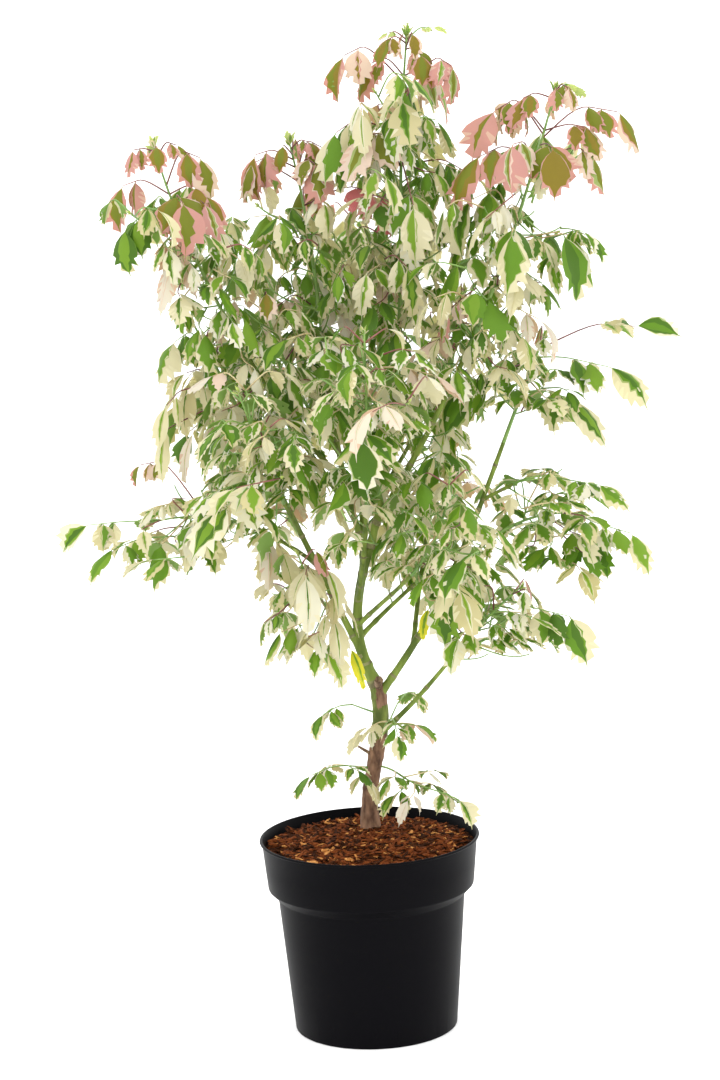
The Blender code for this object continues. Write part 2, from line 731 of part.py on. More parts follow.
def settle_boughs(limbs, space):
    """Lengthens each bough to where its shoot enters the space of its own foliage."""
    for limb in limbs.values():
        if not limb.leafy or limb.bare == 0:
            continue
        distance = limb.curve.length
        while distance > limb.bare:
            if not space.holds(limb.name, [limb.curve.at(distance)[0]], SPACE_MARGIN):
                break
            distance -= 0.004
        limb.bare = max(limb.bare, distance)


class Leaf:
    """One leaf: a bent stalk with a pair or two of leaflets along it and one at its end."""

    def __init__(self, rng, root, start, level, stalk, size, hang, pairs):
        self.level = level
        dip = math.radians(rng.uniform(*STALK_DIP) * hang)
        finish = (level * math.cos(dip) - UP * math.sin(dip)).normalized()
        bend = root + start * (stalk * STALK_BEND)
        end = bend + finish * (stalk * STALK_REST + size * LEAFLET_SPACING * pairs)
        hang = hang * rng.uniform(*HANG_SPREAD)
        self.places = [root, bend]
        self.pairs = {}
        for pair in range(pairs):
            place = bend.lerp(end, (pair + 0.75) / (pairs + 1))
            both = []
            for hand in (1, -1):
                turn = math.radians(hand * rng.uniform(*PAIR_TURN))
                droop = math.radians(min(rng.uniform(*PAIR_DROOP) * hang, STEEPEST_DROOP))
                roll = math.radians(hand * rng.uniform(*PAIR_ROLL))
                length = size * rng.uniform(*PAIR_LENGTH) * (1 - PAIR_SHRINK * pairs)
                both.append(self.leaflet(rng, place, turn, droop, roll, length))
            self.pairs[len(self.places)] = both
            self.places += [place - finish * (PAIR_ROOT / 2), place + finish * (PAIR_ROOT / 2)]
        self.places.append(end)
        turn = math.radians(rng.uniform(*END_TURN))
        droop = math.radians(rng.uniform(*END_DROOP) * hang)
        roll = math.radians(rng.uniform(*END_ROLL))
        self.last = self.leaflet(rng, end, turn, droop, roll, size * rng.uniform(*END_LENGTH))

    def leaflet(self, rng, root, turn, droop, roll, length):
        """Gives one leaflet that hangs from the stalk, turned and rolled from its leaf's level."""
        way = Quaternion(UP, turn) @ self.level
        ahead = (way * math.cos(droop) - UP * math.sin(droop)).normalized()
        face = (way * math.sin(droop) + UP * math.cos(droop)).normalized()
        face = Quaternion(ahead, roll) @ face
        width = length * LEAFLET_WIDTH_SHARE * rng.uniform(*WIDTH_SPREAD)
        return root, ahead, face, length, width

    def solid(self):
        """Gives the leaf's closed solid."""
        steps = len(self.places) - 1
        thin = STALK_ROOT_RADIUS - STALK_END_RADIUS
        radii = [STALK_ROOT_RADIUS - thin * place / steps for place in range(steps + 1)]
        return leaf_solid(self.places, radii, self.level, self.pairs, self.last)


def tree_of(points, faces):
    return BVHTree.FromPolygons([tuple(point) for point in points], faces)


def crosses_itself(faces, tree):
    """Says whether two faces of a solid that share no corner touch."""
    for one, other in tree.overlap(tree):
        if one < other and not set(faces[one]) & set(faces[other]):
            return True
    return False


class Mass:
    """One mass of foliage: a stem, its side twigs and its leaves, kept to its own space."""

    def __init__(self, limb, space, barriers):
        self.limb = limb
        self.space = space
        self.barriers = barriers
        self.solids = []
        self.leaf_trees = []
        self.leaf_count = 0

    def fits(self, solids):
        """Says whether solids stay in the mass's space and touch no limb and no other leaf."""
        spots = [point for points, _ in solids for point in points]
        if not self.space.holds(self.limb.name, spots, SPACE_MARGIN) or self.space.shows_sky(spots):
            return False
        for points, faces in solids:
            tree = tree_of(points, faces)
            if any(tree.overlap(barrier) for barrier in self.barriers):
                return False
            if any(tree.overlap(other) for other in self.leaf_trees):
                return False
        return True

    def add_leaf(self, label, root, along, outward, size, pairs):
        """Adds a leaf, tried a few ways until one fits, or skips it."""
        for attempt in range(TRIES):
            rng = random.Random(f"{self.limb.name} {label} {attempt}")
            swing = math.radians(rng.uniform(*LEAF_SWING) * (1 + attempt * SWING_GROWTH))
            way = Quaternion(along, swing) @ outward
            rise = math.radians(rng.uniform(*LEAF_RISE))
            start = (along * math.cos(rise) + way * math.sin(rise)).normalized()
            level = Vector((way.x, way.y, 0)).normalized()
            shrink = 1 - TRY_SHRINK * attempt
            stalk = size * rng.uniform(*STALK_SHARE) * shrink
            root_spot = root + way * STALK_ROOT_OFFSET
            if self.keep(Leaf(rng, root_spot, start, level, stalk, size * shrink, self.limb.hang, pairs)):
                return True
        return False

    def keep(self, leaf):
        """Keeps a leaf if it fits, and says whether it did."""
        solid = leaf.solid()
        tree = tree_of(*solid)
        if crosses_itself(solid[1], tree) or not self.fits([solid]):
            return False
        self.solids.append(solid)
        self.leaf_trees.append(tree)
        self.leaf_count += 1
        return True

    def add_reaching_leaves(self):
        """Adds the leaves that are placed by hand."""
        for name, below, bearing, stalk, size, rise, hang, pairs in REACHING_LEAVES:
            if name != self.limb.name:
                continue
            point, _ = self.limb.curve.at(self.limb.curve.length - below)
            for attempt in range(TRIES):
                rng = random.Random(f"{name} {below} {bearing} {attempt}")
                turn = math.radians(bearing + rng.uniform(*PLACED_TURN) * attempt)
                level = Vector((math.cos(turn), math.sin(turn), 0))
                lift = math.radians(rise + rng.uniform(*PLACED_LIFT) * attempt)
                start = level * math.cos(lift) + UP * math.sin(lift)
                leaf = Leaf(rng, point + level * STALK_ROOT_OFFSET, start, level, stalk, size, hang, pairs)
                if self.keep(leaf):
                    break

    def add_pairs(self, label, curve, start, turn, size, pairs_of_leaflets):
        """Adds opposite pairs of leaves down a stem from its tip, each square to the last."""
        distance = curve.length - FIRST_NODE
        internode = FIRST_INTERNODE
        node = 0
        places = []
        while distance > start + 0.006:
            point, along = curve.at(distance)
            across, above = square_to(along)
            grown = min(size, YOUNG_LEAFLET + LEAFLET_GROWTH * node)
            for hand in (0, 1):
                way = turn + math.pi * hand + math.pi / 2 * node
                outward = across * math.cos(way) + above * math.sin(way)
                leaflets = 0 if node == 0 else pairs_of_leaflets + (grown >= size and hand)
                self.add_leaf(f"{label} {node} {hand}", point, along, outward, grown, leaflets)
            places.append((distance, way + math.pi / 4))
            node += 1
            distance -= internode
            internode = min(internode * INTERNODE_GROWTH, LONGEST_INTERNODE)
        return places

    def grow(self):
        """Grows the stem, the leaves along it, then short side twigs with leaves of their own."""
        limb = self.limb
        rng = random.Random(limb.name)
        if limb.bare > 0:
            start = limb.bare + GAP
            self.solids.append(limb.solid(start, limb.curve.length, TWIG_SIDES, 0.025))
        else:
            start = limb.foot(0.004)[0]
            self.solids.append(limb.solid(0.0, limb.curve.length, TWIG_SIDES, 0.03))
        if limb.parent.name == "trunk" and limb.bare == 0:
            point, along = limb.curve.at(limb.curve.length - 0.002)
            level = Vector((along.x, along.y, 0)).normalized()
            self.add_leaf("end", point, along, level, TRUNK_LEAFLET, 2)
            return self
        self.add_reaching_leaves()
        places = self.add_pairs("stem", limb.curve, start, rng.uniform(-0.2, 0.2), FULL_LEAFLET, 1)
        for count, (distance, way) in enumerate(places[2::2]):
            point, along = limb.curve.at(distance - SIDE_TWIG_SETBACK)
            across, above = square_to(along)
            for hand in (0, 1):
                turn = way + math.pi * hand
                outward = across * math.cos(turn) + above * math.sin(turn)
                self.add_side_twig(f"side {count} {hand}", rng, point, along, outward)
        return self

    def add_side_twig(self, label, rng, point, along, outward):
        """Adds a short side twig with a pair of leaves and one at its tip, where it fits."""
        length = SIDE_TWIG_LENGTH * rng.uniform(*SIDE_TWIG_SPREAD)
        heading = (along * 0.6 + outward).normalized()
        curve = Curve(point, point + heading * length, outward + along * 0.5, heading + UP * 0.4)
        places = [curve.at(length * share)[0] for share in (0, 0.5, 1)]
        middle_radius = sum(SIDE_TWIG_RADII) / 2
        twig = tube(places, (SIDE_TWIG_RADII[0], middle_radius, SIDE_TWIG_RADII[1]), TWIG_SIDES)
        if not self.fits([twig]):
            return
        tip, ahead = curve.at(curve.length - 0.004)
        across, above = square_to(ahead)
        kept = len(self.solids)
        self.solids.append(twig)
        grown = 0
        for place, way in enumerate((across, -across)):
            size = FULL_LEAFLET * SIDE_LEAFLET_SHARE
            grown += self.add_leaf(f"{label} {place}", tip, ahead, way, size, 1)
        if grown == 0:
            del self.solids[kept:]


def joined(name, solids):
    """Unites closed solids into one body, fills sealed hollows and drops loose scraps."""
    parts = bpy.data.collections.new(name + "_parts")
    base = add_object(name, *solids[0])
    for count, (points, faces) in enumerate(solids[1:]):
        piece = add_object(f"{name}_part_{count}", points, faces)
        bpy.context.scene.collection.objects.unlink(piece)
        parts.objects.link(piece)
    for solver in ("EXACT", "MANIFOLD"):
        union = base.modifiers.new("union", "BOOLEAN")
        union.operation = "UNION"
        union.operand_type = "COLLECTION"
        union.collection = parts
        union.solver = solver
        graph = bpy.context.evaluated_depsgraph_get()
        mesh = bpy.data.meshes.new_from_object(base.evaluated_get(graph))
        base.modifiers.clear()
        if keep_outer_body(mesh):
            break
    old = base.data
    base.data = mesh
    bpy.data.meshes.remove(old)
    for piece in list(parts.objects):
        bpy.data.objects.remove(piece)
    bpy.data.collections.remove(parts)
    return base


def keep_outer_body(mesh):
    """Keeps the largest body of a mesh, and says whether that body is closed."""
    shell = bmesh.new()
    shell.from_mesh(mesh)
    unseen = set(shell.faces)
    bodies = []
    while unseen:
        seed = unseen.pop()
        body = [seed]
        queue = [seed]
        while queue:
            for edge in queue.pop().edges:
                if len(edge.link_faces) != 2:
                    continue
                for face in edge.link_faces:
                    if face in unseen:
                        unseen.remove(face)
                        body.append(face)
                        queue.append(face)
        bodies.append(body)
    bodies.sort(key=lambda body: sum(face.calc_area() for face in body), reverse=True)
    scraps = [face for body in bodies[1:] for face in body]
    bmesh.ops.delete(shell, geom=scraps, context="FACES")
    closed = all(len(edge.link_faces) == 2 for edge in shell.edges)
    face_out(shell)
    shell.to_mesh(mesh)
    shell.free()
    return closed and len(mesh.polygons) > 0


def build_stubs(limbs):
    """Builds the short pruned ends that stand on the trunk."""
    trunk = limbs["trunk"]
    stubs = []
    for name, share, way, thick, thin, length in STUBS:
        distance = trunk.curve.length * share
        point, along = trunk.curve.at(distance)
        way = Vector(way).normalized()
        outward = (way - along * way.dot(along)).normalized()
        clear = trunk.radius(distance) + GAP
        lean = way.dot(outward)
        shear = thick * math.sqrt(max(0, 1 - lean**2)) / lean
        start = clear / lean + shear
        points = [point + way * reach for reach in (start * 0.5, start + 0.001, start + length)]
        solid = tube(points, (thick, thick, thin), BOUGH_SIDES, (point + outward * clear, outward))
        stubs.append(add_object(name, *solid, "trunk"))
    return stubs


def build_limbs(limbs):
    """Builds the trunk and the boughs as tapering tubes that stop just short of each other."""
    trunk = limbs["trunk"]
    points, faces = trunk.solid(0.0, trunk.curve.length, TRUNK_SIDES, trunk.curve.length / TRUNK_RINGS)
    for point in points[:TRUNK_SIDES]:
        point.z = TRUNK_FOOT.z
    made = [add_object("trunk", points, faces, "trunk")]
    for limb in limbs.values():
        if limb.bare > 0 and limb.parent:
            solid = limb.solid(0.0, limb.bare, BOUGH_SIDES, BOUGH_RING_STEP)
            made.append(add_object("bough_" + limb.name, *solid, "bough"))
    for item in made:
        item.data.shade_smooth()
        item.data.set_sharp_from_angle(angle=math.radians(50))
    return made


def barrier_trees(limbs, solid_items):
    """Gives search trees of the fattened limbs and of the pot and soil, for foliage to avoid."""
    trees = []
    for limb in limbs.values():
        if limb.bare > 0:
            solid = limb.solid(0.0, limb.bare, BOUGH_SIDES, BOUGH_RING_STEP, LIMB_MARGIN)
            trees.append(tree_of(*solid))
    for item in solid_items:
        points = [vertex.co for vertex in item.data.vertices]
        trees.append(tree_of(points, [list(face.vertices) for face in item.data.polygons]))
    return trees


def main():
    for item in list(bpy.data.objects):
        bpy.data.objects.remove(item)
    pot = build_pot()
    soil = build_soil()
    limbs = grow_limbs()
    space = Space(limbs)
    settle_boughs(limbs, space)
    stubs = build_stubs(limbs)
    build_limbs(limbs)
    barriers = barrier_trees(limbs, [pot, soil] + stubs)
    for limb in limbs.values():
        if not limb.leafy:
            continue
        mass = Mass(limb, space, barriers).grow()
        name = limb.name if limb.bare == 0 else "foliage_" + limb.name
        item = joined(name, mass.solids)
        item.data.materials.clear()
        item.data.materials.append(material("foliage"))
        print(f"{name}: {mass.leaf_count} leaves in {len(item.data.polygons)} faces")


main()
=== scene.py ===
"""Looks of the potted flamingo box elder: a young variegated shrub in a black nursery pot.

The crown is grown by the same rule as the solids, from the same seeds, and is then carried on to
finer twigs. Each leaflet has its own toothed outline, fold, droop and jagged green middle.
"""

import json
import logging
import math
import random
from dataclasses import dataclass, field
from enum import Enum

import bpy
import numpy as np
from mathutils import Matrix, Quaternion, Vector, noise
from mathutils.bvhtree import BVHTree

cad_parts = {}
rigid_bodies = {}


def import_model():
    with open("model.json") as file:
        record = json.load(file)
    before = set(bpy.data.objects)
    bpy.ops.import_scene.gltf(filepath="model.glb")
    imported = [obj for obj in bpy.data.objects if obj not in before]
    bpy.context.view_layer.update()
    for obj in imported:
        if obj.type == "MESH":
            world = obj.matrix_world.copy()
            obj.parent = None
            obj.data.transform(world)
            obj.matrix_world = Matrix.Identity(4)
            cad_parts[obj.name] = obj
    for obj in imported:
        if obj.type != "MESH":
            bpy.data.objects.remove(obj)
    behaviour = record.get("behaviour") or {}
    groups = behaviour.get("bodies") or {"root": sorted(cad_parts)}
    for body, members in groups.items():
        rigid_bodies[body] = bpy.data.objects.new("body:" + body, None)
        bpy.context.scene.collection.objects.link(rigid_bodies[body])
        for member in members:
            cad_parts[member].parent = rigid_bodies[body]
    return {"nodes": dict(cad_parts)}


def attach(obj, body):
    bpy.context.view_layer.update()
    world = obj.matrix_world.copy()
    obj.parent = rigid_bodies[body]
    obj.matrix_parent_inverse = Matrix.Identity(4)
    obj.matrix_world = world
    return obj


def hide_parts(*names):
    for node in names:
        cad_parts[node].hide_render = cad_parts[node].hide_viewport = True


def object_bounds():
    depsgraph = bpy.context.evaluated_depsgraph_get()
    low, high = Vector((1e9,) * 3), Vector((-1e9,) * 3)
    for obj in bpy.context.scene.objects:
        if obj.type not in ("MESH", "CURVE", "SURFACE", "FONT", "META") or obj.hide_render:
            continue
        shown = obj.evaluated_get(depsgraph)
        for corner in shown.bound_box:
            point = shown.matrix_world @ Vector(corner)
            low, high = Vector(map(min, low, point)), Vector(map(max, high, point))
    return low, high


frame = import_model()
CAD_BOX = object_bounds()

LOG = logging.getLogger("flamingo_box_elder")
GAP = 0.0003
UP = Vector((0, 0, 1))
SOIL_CROWN_HEIGHT = 0.2125
CURVE_STEPS = 48
HANDLE_SHARE = 0.38
EYE_DISTANCE = 3.17
EYE_HEIGHT = 1.094
EYE_PITCH = 9.9
EYE_PAN = 0.05
EYE_ROLL = 2.3
GOLDEN_TURN = 2.39996


class Kind(Enum):
    """How a leaf is coloured."""

    VARIEGATED = "variegated"
    GREEN = "green"
    CREAM = "cream"
    BLUSH = "blush"
    YOUNG = "young"
    PINK = "pink"
    ROSE = "rose"
    YELLOW = "yellow"
    BUD = "bud"


class Look(Enum):
    """How a leaf came to be there: placed one by one, placed and nearly level, by the rule, or fine."""

    PLACED = "placed"
    LEVEL = "level"
    COMMON = "common"
    FINE = "fine"


class Tint(Enum):
    """The plain base colours that the faces of the leaves are dealt, in slot order."""

    DEEP_GREEN = 0
    LEAF_GREEN = 1
    FRESH_GREEN = 2
    GREY_GREEN = 3
    CREAM = 4
    IVORY = 5
    BUFF = 6
    BLUSH = 7
    PINK = 8
    ROSE = 9
    BRONZE = 10
    OLIVE = 11
    YELLOW = 12
    GREEN_BACK = 13
    CREAM_BACK = 14
    PINK_BACK = 15
    BUD_GREEN = 16

# Trunk: brown, leaning right in a shallow S.
TRUNK_FOOT = Vector((0.002, 0.034, SOIL_CROWN_HEIGHT + GAP))
TRUNK_FORK = Vector((0.0145, 0.028, 0.374))
TRUNK_LEAVE = Vector((-0.10, -0.02, 1.0))
TRUNK_HEADING = Vector((-0.22, -0.02, 1.0))
TRUNK_RADII = (0.0112, 0.0090, 0.0083, 0.0084, 0.0092, 0.0088, 0.0080)

# Shoots. Each row gives the shoot that carries it, how far along that one it starts, its tip, the
# way it leaves and the way it ends up pointing, the radii at both ends, its leafy length, and how
# far its leaflets hang, from 0 for level to 1 for nearly straight down.
SHOOTS = (
    (
        "main", "trunk", 1.00, (0.013, 0.020, 0.528), (-0.50, -0.05, 1.0), (0.35, -0.05, 1.0),
        0.0060, 0.0046, 0.0, 0.0,
    ),
    (
        "centre", "main", 1.00, (0.073, 0.030, 1.070), (0.30, 0.02, 1.0), (0.12, 0.02, 1.0),
        0.0040, 0.0013, 0.300, 0.95,
    ),
    (
        "right_high", "centre", 0.05, (0.223, -0.030, 1.008), (0.62, -0.30, 1.0), (0.30, -0.05, 1.0),
        0.0036, 0.0013, 0.280, 0.95,
    ),
    (
        "left_centre", "main", 0.93, (-0.055, 0.050, 0.962), (-0.30, 0.10, 1.0), (-0.22, 0.05, 1.0),
        0.0036, 0.0013, 0.240, 0.90,
    ),
    (
        "left_high", "left_centre", 0.10, (-0.194, -0.040, 0.968), (-0.55, -0.55, 1.0),
        (-0.25, -0.05, 1.0), 0.0031, 0.0012, 0.260, 0.95,
    ),
    (
        "right", "trunk", 0.93, (0.207, 0.018, 0.748), (0.78, -0.10, 1.0), (0.45, 0.00, 1.0),
        0.0042, 0.0015, 0.120, 0.65,
    ),
    (
        "right_low", "trunk", 0.66, (0.170, -0.045, 0.490), (1.15, -0.25, 1.0), (0.80, -0.30, 0.70),
        0.0030, 0.0013, 0.090, 0.70,
    ),
    (
        "right_inner", "main", 0.36, (0.125, 0.070, 0.540), (0.95, 0.30, 0.90), (0.70, 0.25, 0.75),
        0.0028, 0.0013, 0.090, 0.75,
    ),
    (
        "right_reach", "right", 0.34, (0.244, 0.042, 0.552), (0.70, 0.50, 0.75), (1.00, 0.05, -0.20),
        0.0024, 0.0012, 0.100, 0.60,
    ),
    (
        "right_side", "right", 0.57, (0.208, -0.020, 0.606), (0.95, -0.30, 0.45), (1.00, -0.05, 0.00),
        0.0020, 0.0012, 0.045, 0.45,
    ),
    (
        "left", "main", 0.22, (-0.170, 0.010, 0.790), (-0.45, -0.12, 1.0), (-0.45, 0.00, 0.95),
        0.0040, 0.0013, 0.230, 0.75,
    ),
    (
        "low_left", "left", 0.28, (-0.218, -0.030, 0.574), (-0.90, -0.15, 0.75), (-1.00, -0.05, -0.20),
        0.0024, 0.0011, 0.135, 0.60,
    ),
    (
        "low_front", "left", 0.12, (-0.062, -0.080, 0.540), (-0.80, -0.80, 0.80), (-0.25, -0.40, 0.85),
        0.0022, 0.0012, 0.100, 1.00,
    ),
    (
        "front", "main", 0.62, (0.015, -0.165, 0.780), (0.15, -0.95, 1.0), (0.00, -0.25, 1.0),
        0.0031, 0.0013, 0.220, 0.72,
    ),
    (
        "front_left", "left", 0.36, (-0.114, -0.148, 0.722), (-0.40, -0.95, 1.0), (-0.30, -0.30, 1.0),
        0.0026, 0.0012, 0.180, 0.70,
    ),
    (
        "front_right", "main", 0.45, (0.097, -0.142, 0.628), (0.75, -1.00, 0.90), (0.10, -0.30, 1.0),
        0.0027, 0.0012, 0.150, 0.68,
    ),
    (
        "back", "main", 0.80, (0.010, 0.205, 0.880), (0.05, 0.95, 1.0), (0.00, 0.20, 1.0),
        0.0032, 0.0013, 0.240, 0.80,
    ),
    (
        "back_left", "left_centre", 0.18, (-0.135, 0.185, 0.745), (-0.80, 0.75, 1.0), (-0.35, 0.35, 1.0),
        0.0027, 0.0012, 0.190, 0.80,
    ),
    (
        "back_right", "right", 0.16, (0.115, 0.190, 0.710), (0.15, 0.95, 1.0), (0.15, 0.30, 1.0),
        0.0028, 0.0012, 0.180, 0.80,
    ),
    (
        "inner_right", "centre", 0.12, (0.125, 0.030, 0.800), (0.75, 0.60, 1.0), (0.25, -0.05, 1.0),
        0.0025, 0.0012, 0.150, 0.78,
    ),
    (
        "inner_left", "left_centre", 0.26, (-0.090, -0.030, 0.810), (-0.65, -0.25, 1.0),
        (-0.25, -0.10, 1.0), 0.0024, 0.0012, 0.140, 0.78,
    ),
)

# Leaves placed one by one. Each row gives the mass, how far below its tip the leaf springs, its bearing
# in degrees from +X, its stalk and leaflet lengths, its rise above the level, how far its leaflets
# hang, its pairs of leaflets, and its colouring.
REACHING_LEAVES = (
    ("right", 0.012, -3, 0.090, 0.048, 22, 0.25, 2, Kind.VARIEGATED),
    ("right", 0.022, -20, 0.040, 0.062, 4, 0.75, 2, Kind.VARIEGATED),
    ("right", 0.070, 172, 0.044, 0.060, 30, 0.85, 1, Kind.VARIEGATED),
    ("right_high", 0.155, 2, 0.050, 0.070, 8, 1.05, 1, Kind.BLUSH),
    ("right_high", 0.048, -2, 0.070, 0.048, 38, 1.00, 2, Kind.YOUNG),
    ("right_high", 0.044, 178, 0.066, 0.054, 58, 1.05, 1, Kind.YOUNG),
    ("left_high", 0.122, 178, 0.024, 0.058, 14, 1.05, 1, Kind.BLUSH),
    ("left_high", 0.050, 178, 0.044, 0.048, 34, 1.05, 1, Kind.YOUNG),
    ("left_high", 0.040, -10, 0.056, 0.048, 68, 1.05, 1, Kind.YOUNG),
    ("centre", 0.046, 182, 0.078, 0.052, 48, 1.05, 1, Kind.YOUNG),
    ("centre", 0.070, -2, 0.066, 0.054, 66, 1.00, 1, Kind.PINK),
    ("left_centre", 0.024, 180, 0.046, 0.042, 34, 1.00, 1, Kind.YOUNG),
    ("left_centre", 0.030, -2, 0.052, 0.042, 74, 1.00, 1, Kind.YOUNG),
    ("left", 0.092, 186, 0.038, 0.062, 20, 1.05, 1, Kind.CREAM),
    ("left", 0.150, 182, 0.060, 0.066, 20, 1.00, 1, Kind.BLUSH),
    ("low_left", 0.008, 184, 0.050, 0.045, 2, 0.60, 2, Kind.VARIEGATED),
    ("right_reach", 0.006, -8, 0.032, 0.050, -26, 0.80, 2, Kind.VARIEGATED),
    ("right_side", 0.006, -4, 0.040, 0.042, 0, 0.50, 2, Kind.VARIEGATED),
    ("right_low", 0.020, 0, 0.036, 0.054, 0, 0.95, 2, Kind.GREEN),
    ("low_front", 0.012, 205, 0.050, 0.060, 20, 0.95, 2, Kind.BLUSH),
    ("low_front", 0.050, 178, 0.046, 0.060, 10, 1.00, 2, Kind.CREAM),
    ("inner_right", 0.020, 185, 0.052, 0.055, 45, 1.05, 1, Kind.VARIEGATED),
    ("inner_right", 0.020, 5, 0.050, 0.055, 40, 1.05, 1, Kind.CREAM),
    ("right_high", 0.150, 184, 0.070, 0.066, 56, 1.05, 1, Kind.VARIEGATED),
    ("inner_left", 0.020, 180, 0.045, 0.052, 40, 1.05, 1, Kind.BLUSH),
    ("left_centre", 0.100, 180, 0.064, 0.062, 24, 1.00, 1, Kind.GREEN),
    ("centre", 0.125, -4, 0.080, 0.062, 30, 1.00, 1, Kind.VARIEGATED),
    ("centre", 0.135, 184, 0.070, 0.062, 30, 1.00, 1, Kind.PINK),
)

# More leaves of the same sort that the solids have no room for.
EXTRA_LEAVES = (
    ("right", 0.064, -12, 0.030, 0.064, 10, 0.85, 1, Kind.VARIEGATED),
    ("low_left", 0.060, 250, 0.030, 0.050, 10, 1.00, 1, Kind.CREAM),
    ("right_low", 0.085, -139, 0.081, 0.038, 58, 1.05, 0, Kind.YELLOW),
    ("left", 0.200, 200, 0.050, 0.056, 15, 1.00, 1, Kind.CREAM),
    ("left", 0.040, 190, 0.036, 0.050, 30, 1.00, 1, Kind.VARIEGATED),
    ("left_high", 0.050, -47, 0.038, 0.046, 23, 1.05, 1, Kind.YOUNG),
    ("left_high", 0.004, -149, 0.018, 0.030, 21, 1.05, 1, Kind.YOUNG),
    ("left_high", 0.010, -43, 0.026, 0.026, 39, 0.80, 1, Kind.YOUNG),
    ("left_centre", 0.016, -113, 0.035, 0.050, 14, 1.05, 1, Kind.YOUNG),
    ("left_centre", 0.034, -52, 0.040, 0.046, 35, 1.05, 1, Kind.PINK),
    ("left_centre", 0.004, -38, 0.023, 0.024, 37, 0.90, 1, Kind.YOUNG),
    ("centre", 0.100, -154, 0.077, 0.058, 20, 1.05, 1, Kind.GREEN),
    ("centre", 0.088, -124, 0.054, 0.044, 39, 1.05, 1, Kind.VARIEGATED),
    ("centre", 0.060, -15, 0.079, 0.042, 31, 1.05, 1, Kind.PINK),
    ("centre", 0.006, -140, 0.022, 0.034, 33, 1.05, 1, Kind.YOUNG),
    ("centre", 0.012, -60, 0.020, 0.034, 34, 1.05, 1, Kind.YOUNG),
    ("centre", 0.002, 165, 0.020, 0.016, 40, 0.50, 1, Kind.BUD),
    ("centre", 0.003, 5, 0.026, 0.016, 45, 0.40, 2, Kind.BUD),
    ("right_high", 0.072, -148, 0.052, 0.060, 23, 1.05, 1, Kind.YOUNG),
    ("right_high", 0.056, -79, 0.035, 0.056, 7, 1.05, 1, Kind.YOUNG),
    ("right_high", 0.074, -20, 0.064, 0.044, 23, 1.05, 1, Kind.PINK),
    ("right_high", 0.006, -156, 0.030, 0.034, 20, 1.00, 1, Kind.YOUNG),
    ("right_high", 0.008, -54, 0.029, 0.028, 53, 0.95, 1, Kind.YOUNG),
    ("right_high", 0.002, 10, 0.022, 0.018, 45, 0.60, 1, Kind.BUD),
    ("left_high", 0.058, -152, 0.049, 0.050, -6, 1.05, 1, Kind.GREEN),
    ("left_high", 0.064, -88, 0.043, 0.046, 31, 1.05, 1, Kind.PINK),
    ("left_centre", 0.066, -27, 0.082, 0.045, 23, 0.95, 2, Kind.ROSE),
    ("right_high", 0.160, -33, 0.080, 0.074, 10, 1.05, 0, Kind.GREEN),
    ("right_high", 0.165, -11, 0.079, 0.066, 11, 1.00, 0, Kind.GREEN),
    ("left", 0.100, -166, 0.114, 0.056, 2, 1.05, 0, Kind.CREAM),
    ("left", 0.085, -149, 0.088, 0.046, 18, 1.05, 1, Kind.CREAM),
    ("left", 0.150, 182, 0.060, 0.066, 20, 1.00, 1, Kind.BLUSH),
    ("low_left", 0.060, -165, 0.109, 0.030, 59, 0.90, 2, Kind.YOUNG),
    ("low_left", 0.040, -150, 0.054, 0.050, -49, 1.05, 0, Kind.GREEN),
    ("low_left", 0.050, -114, 0.025, 0.038, -2, 1.05, 1, Kind.CREAM),
    ("low_left", 0.110, -159, 0.047, 0.026, -31, 1.05, 0, Kind.BLUSH),
    ("low_left", 0.120, -75, 0.051, 0.060, 5, 1.05, 0, Kind.BLUSH),
    ("low_left", 0.125, -113, 0.038, 0.060, 13, 1.05, 1, Kind.CREAM),
    ("low_front", 0.030, -43, 0.038, 0.058, 29, 1.05, 0, Kind.CREAM),
    ("low_front", 0.020, -93, 0.026, 0.054, -3, 1.05, 0, Kind.CREAM),
    ("low_front", 0.085, -71, 0.033, 0.056, -23, 1.05, 1, Kind.CREAM),
    ("low_front", 0.090, -38, 0.079, 0.046, -58, 1.05, 0, Kind.YELLOW),
    ("low_front", 0.016, -154, 0.086, 0.044, -68, 0.75, 0, Kind.VARIEGATED),
    ("right_low", 0.060, -94, 0.080, 0.060, 58, 1.05, 1, Kind.GREEN),
    ("right", 0.070, 172, 0.044, 0.060, 30, 0.85, 1, Kind.VARIEGATED),
    ("inner_right", 0.020, 185, 0.052, 0.055, 45, 1.05, 1, Kind.VARIEGATED),
    ("inner_left", 0.020, 180, 0.045, 0.052, 40, 1.05, 1, Kind.BLUSH),
)

# Stretches of stem that the finer leaves leave in plain view, as in the photo: the shoot, and how
# far below its tip the stretch begins and ends.
SEEN_STRETCHES = (
    ("left_high", 0.02, 0.13),
    ("left_centre", 0.05, 0.10),
    ("left_centre", 0.13, 0.24),
    ("left_centre", 0.31, 0.45),
    ("right_high", 0.04, 0.13),
    ("right_high", 0.22, 0.27),
    ("right_high", 0.36, 0.44),
    ("centre", 0.02, 0.09),
    ("centre", 0.16, 0.23),
    ("main", 0.00, 0.15),
    ("right", 0.10, 0.30),
    ("right_low", 0.09, 0.20),
    ("right_inner", 0.08, 0.16),
    ("left", 0.24, 0.34),
)

# Windows that only the finer leaves leave free, so that the stems show as they do in the photo.
CLEARINGS = (
    (-0.016, 0.038, 0.341, 0.476),
    (0.042, 0.098, 0.339, 0.452),
    (0.100, 0.212, 0.334, 0.405),
    (-0.248, -0.167, 0.591, 0.675),
    (-0.157, -0.128, 0.480, 0.540),
)

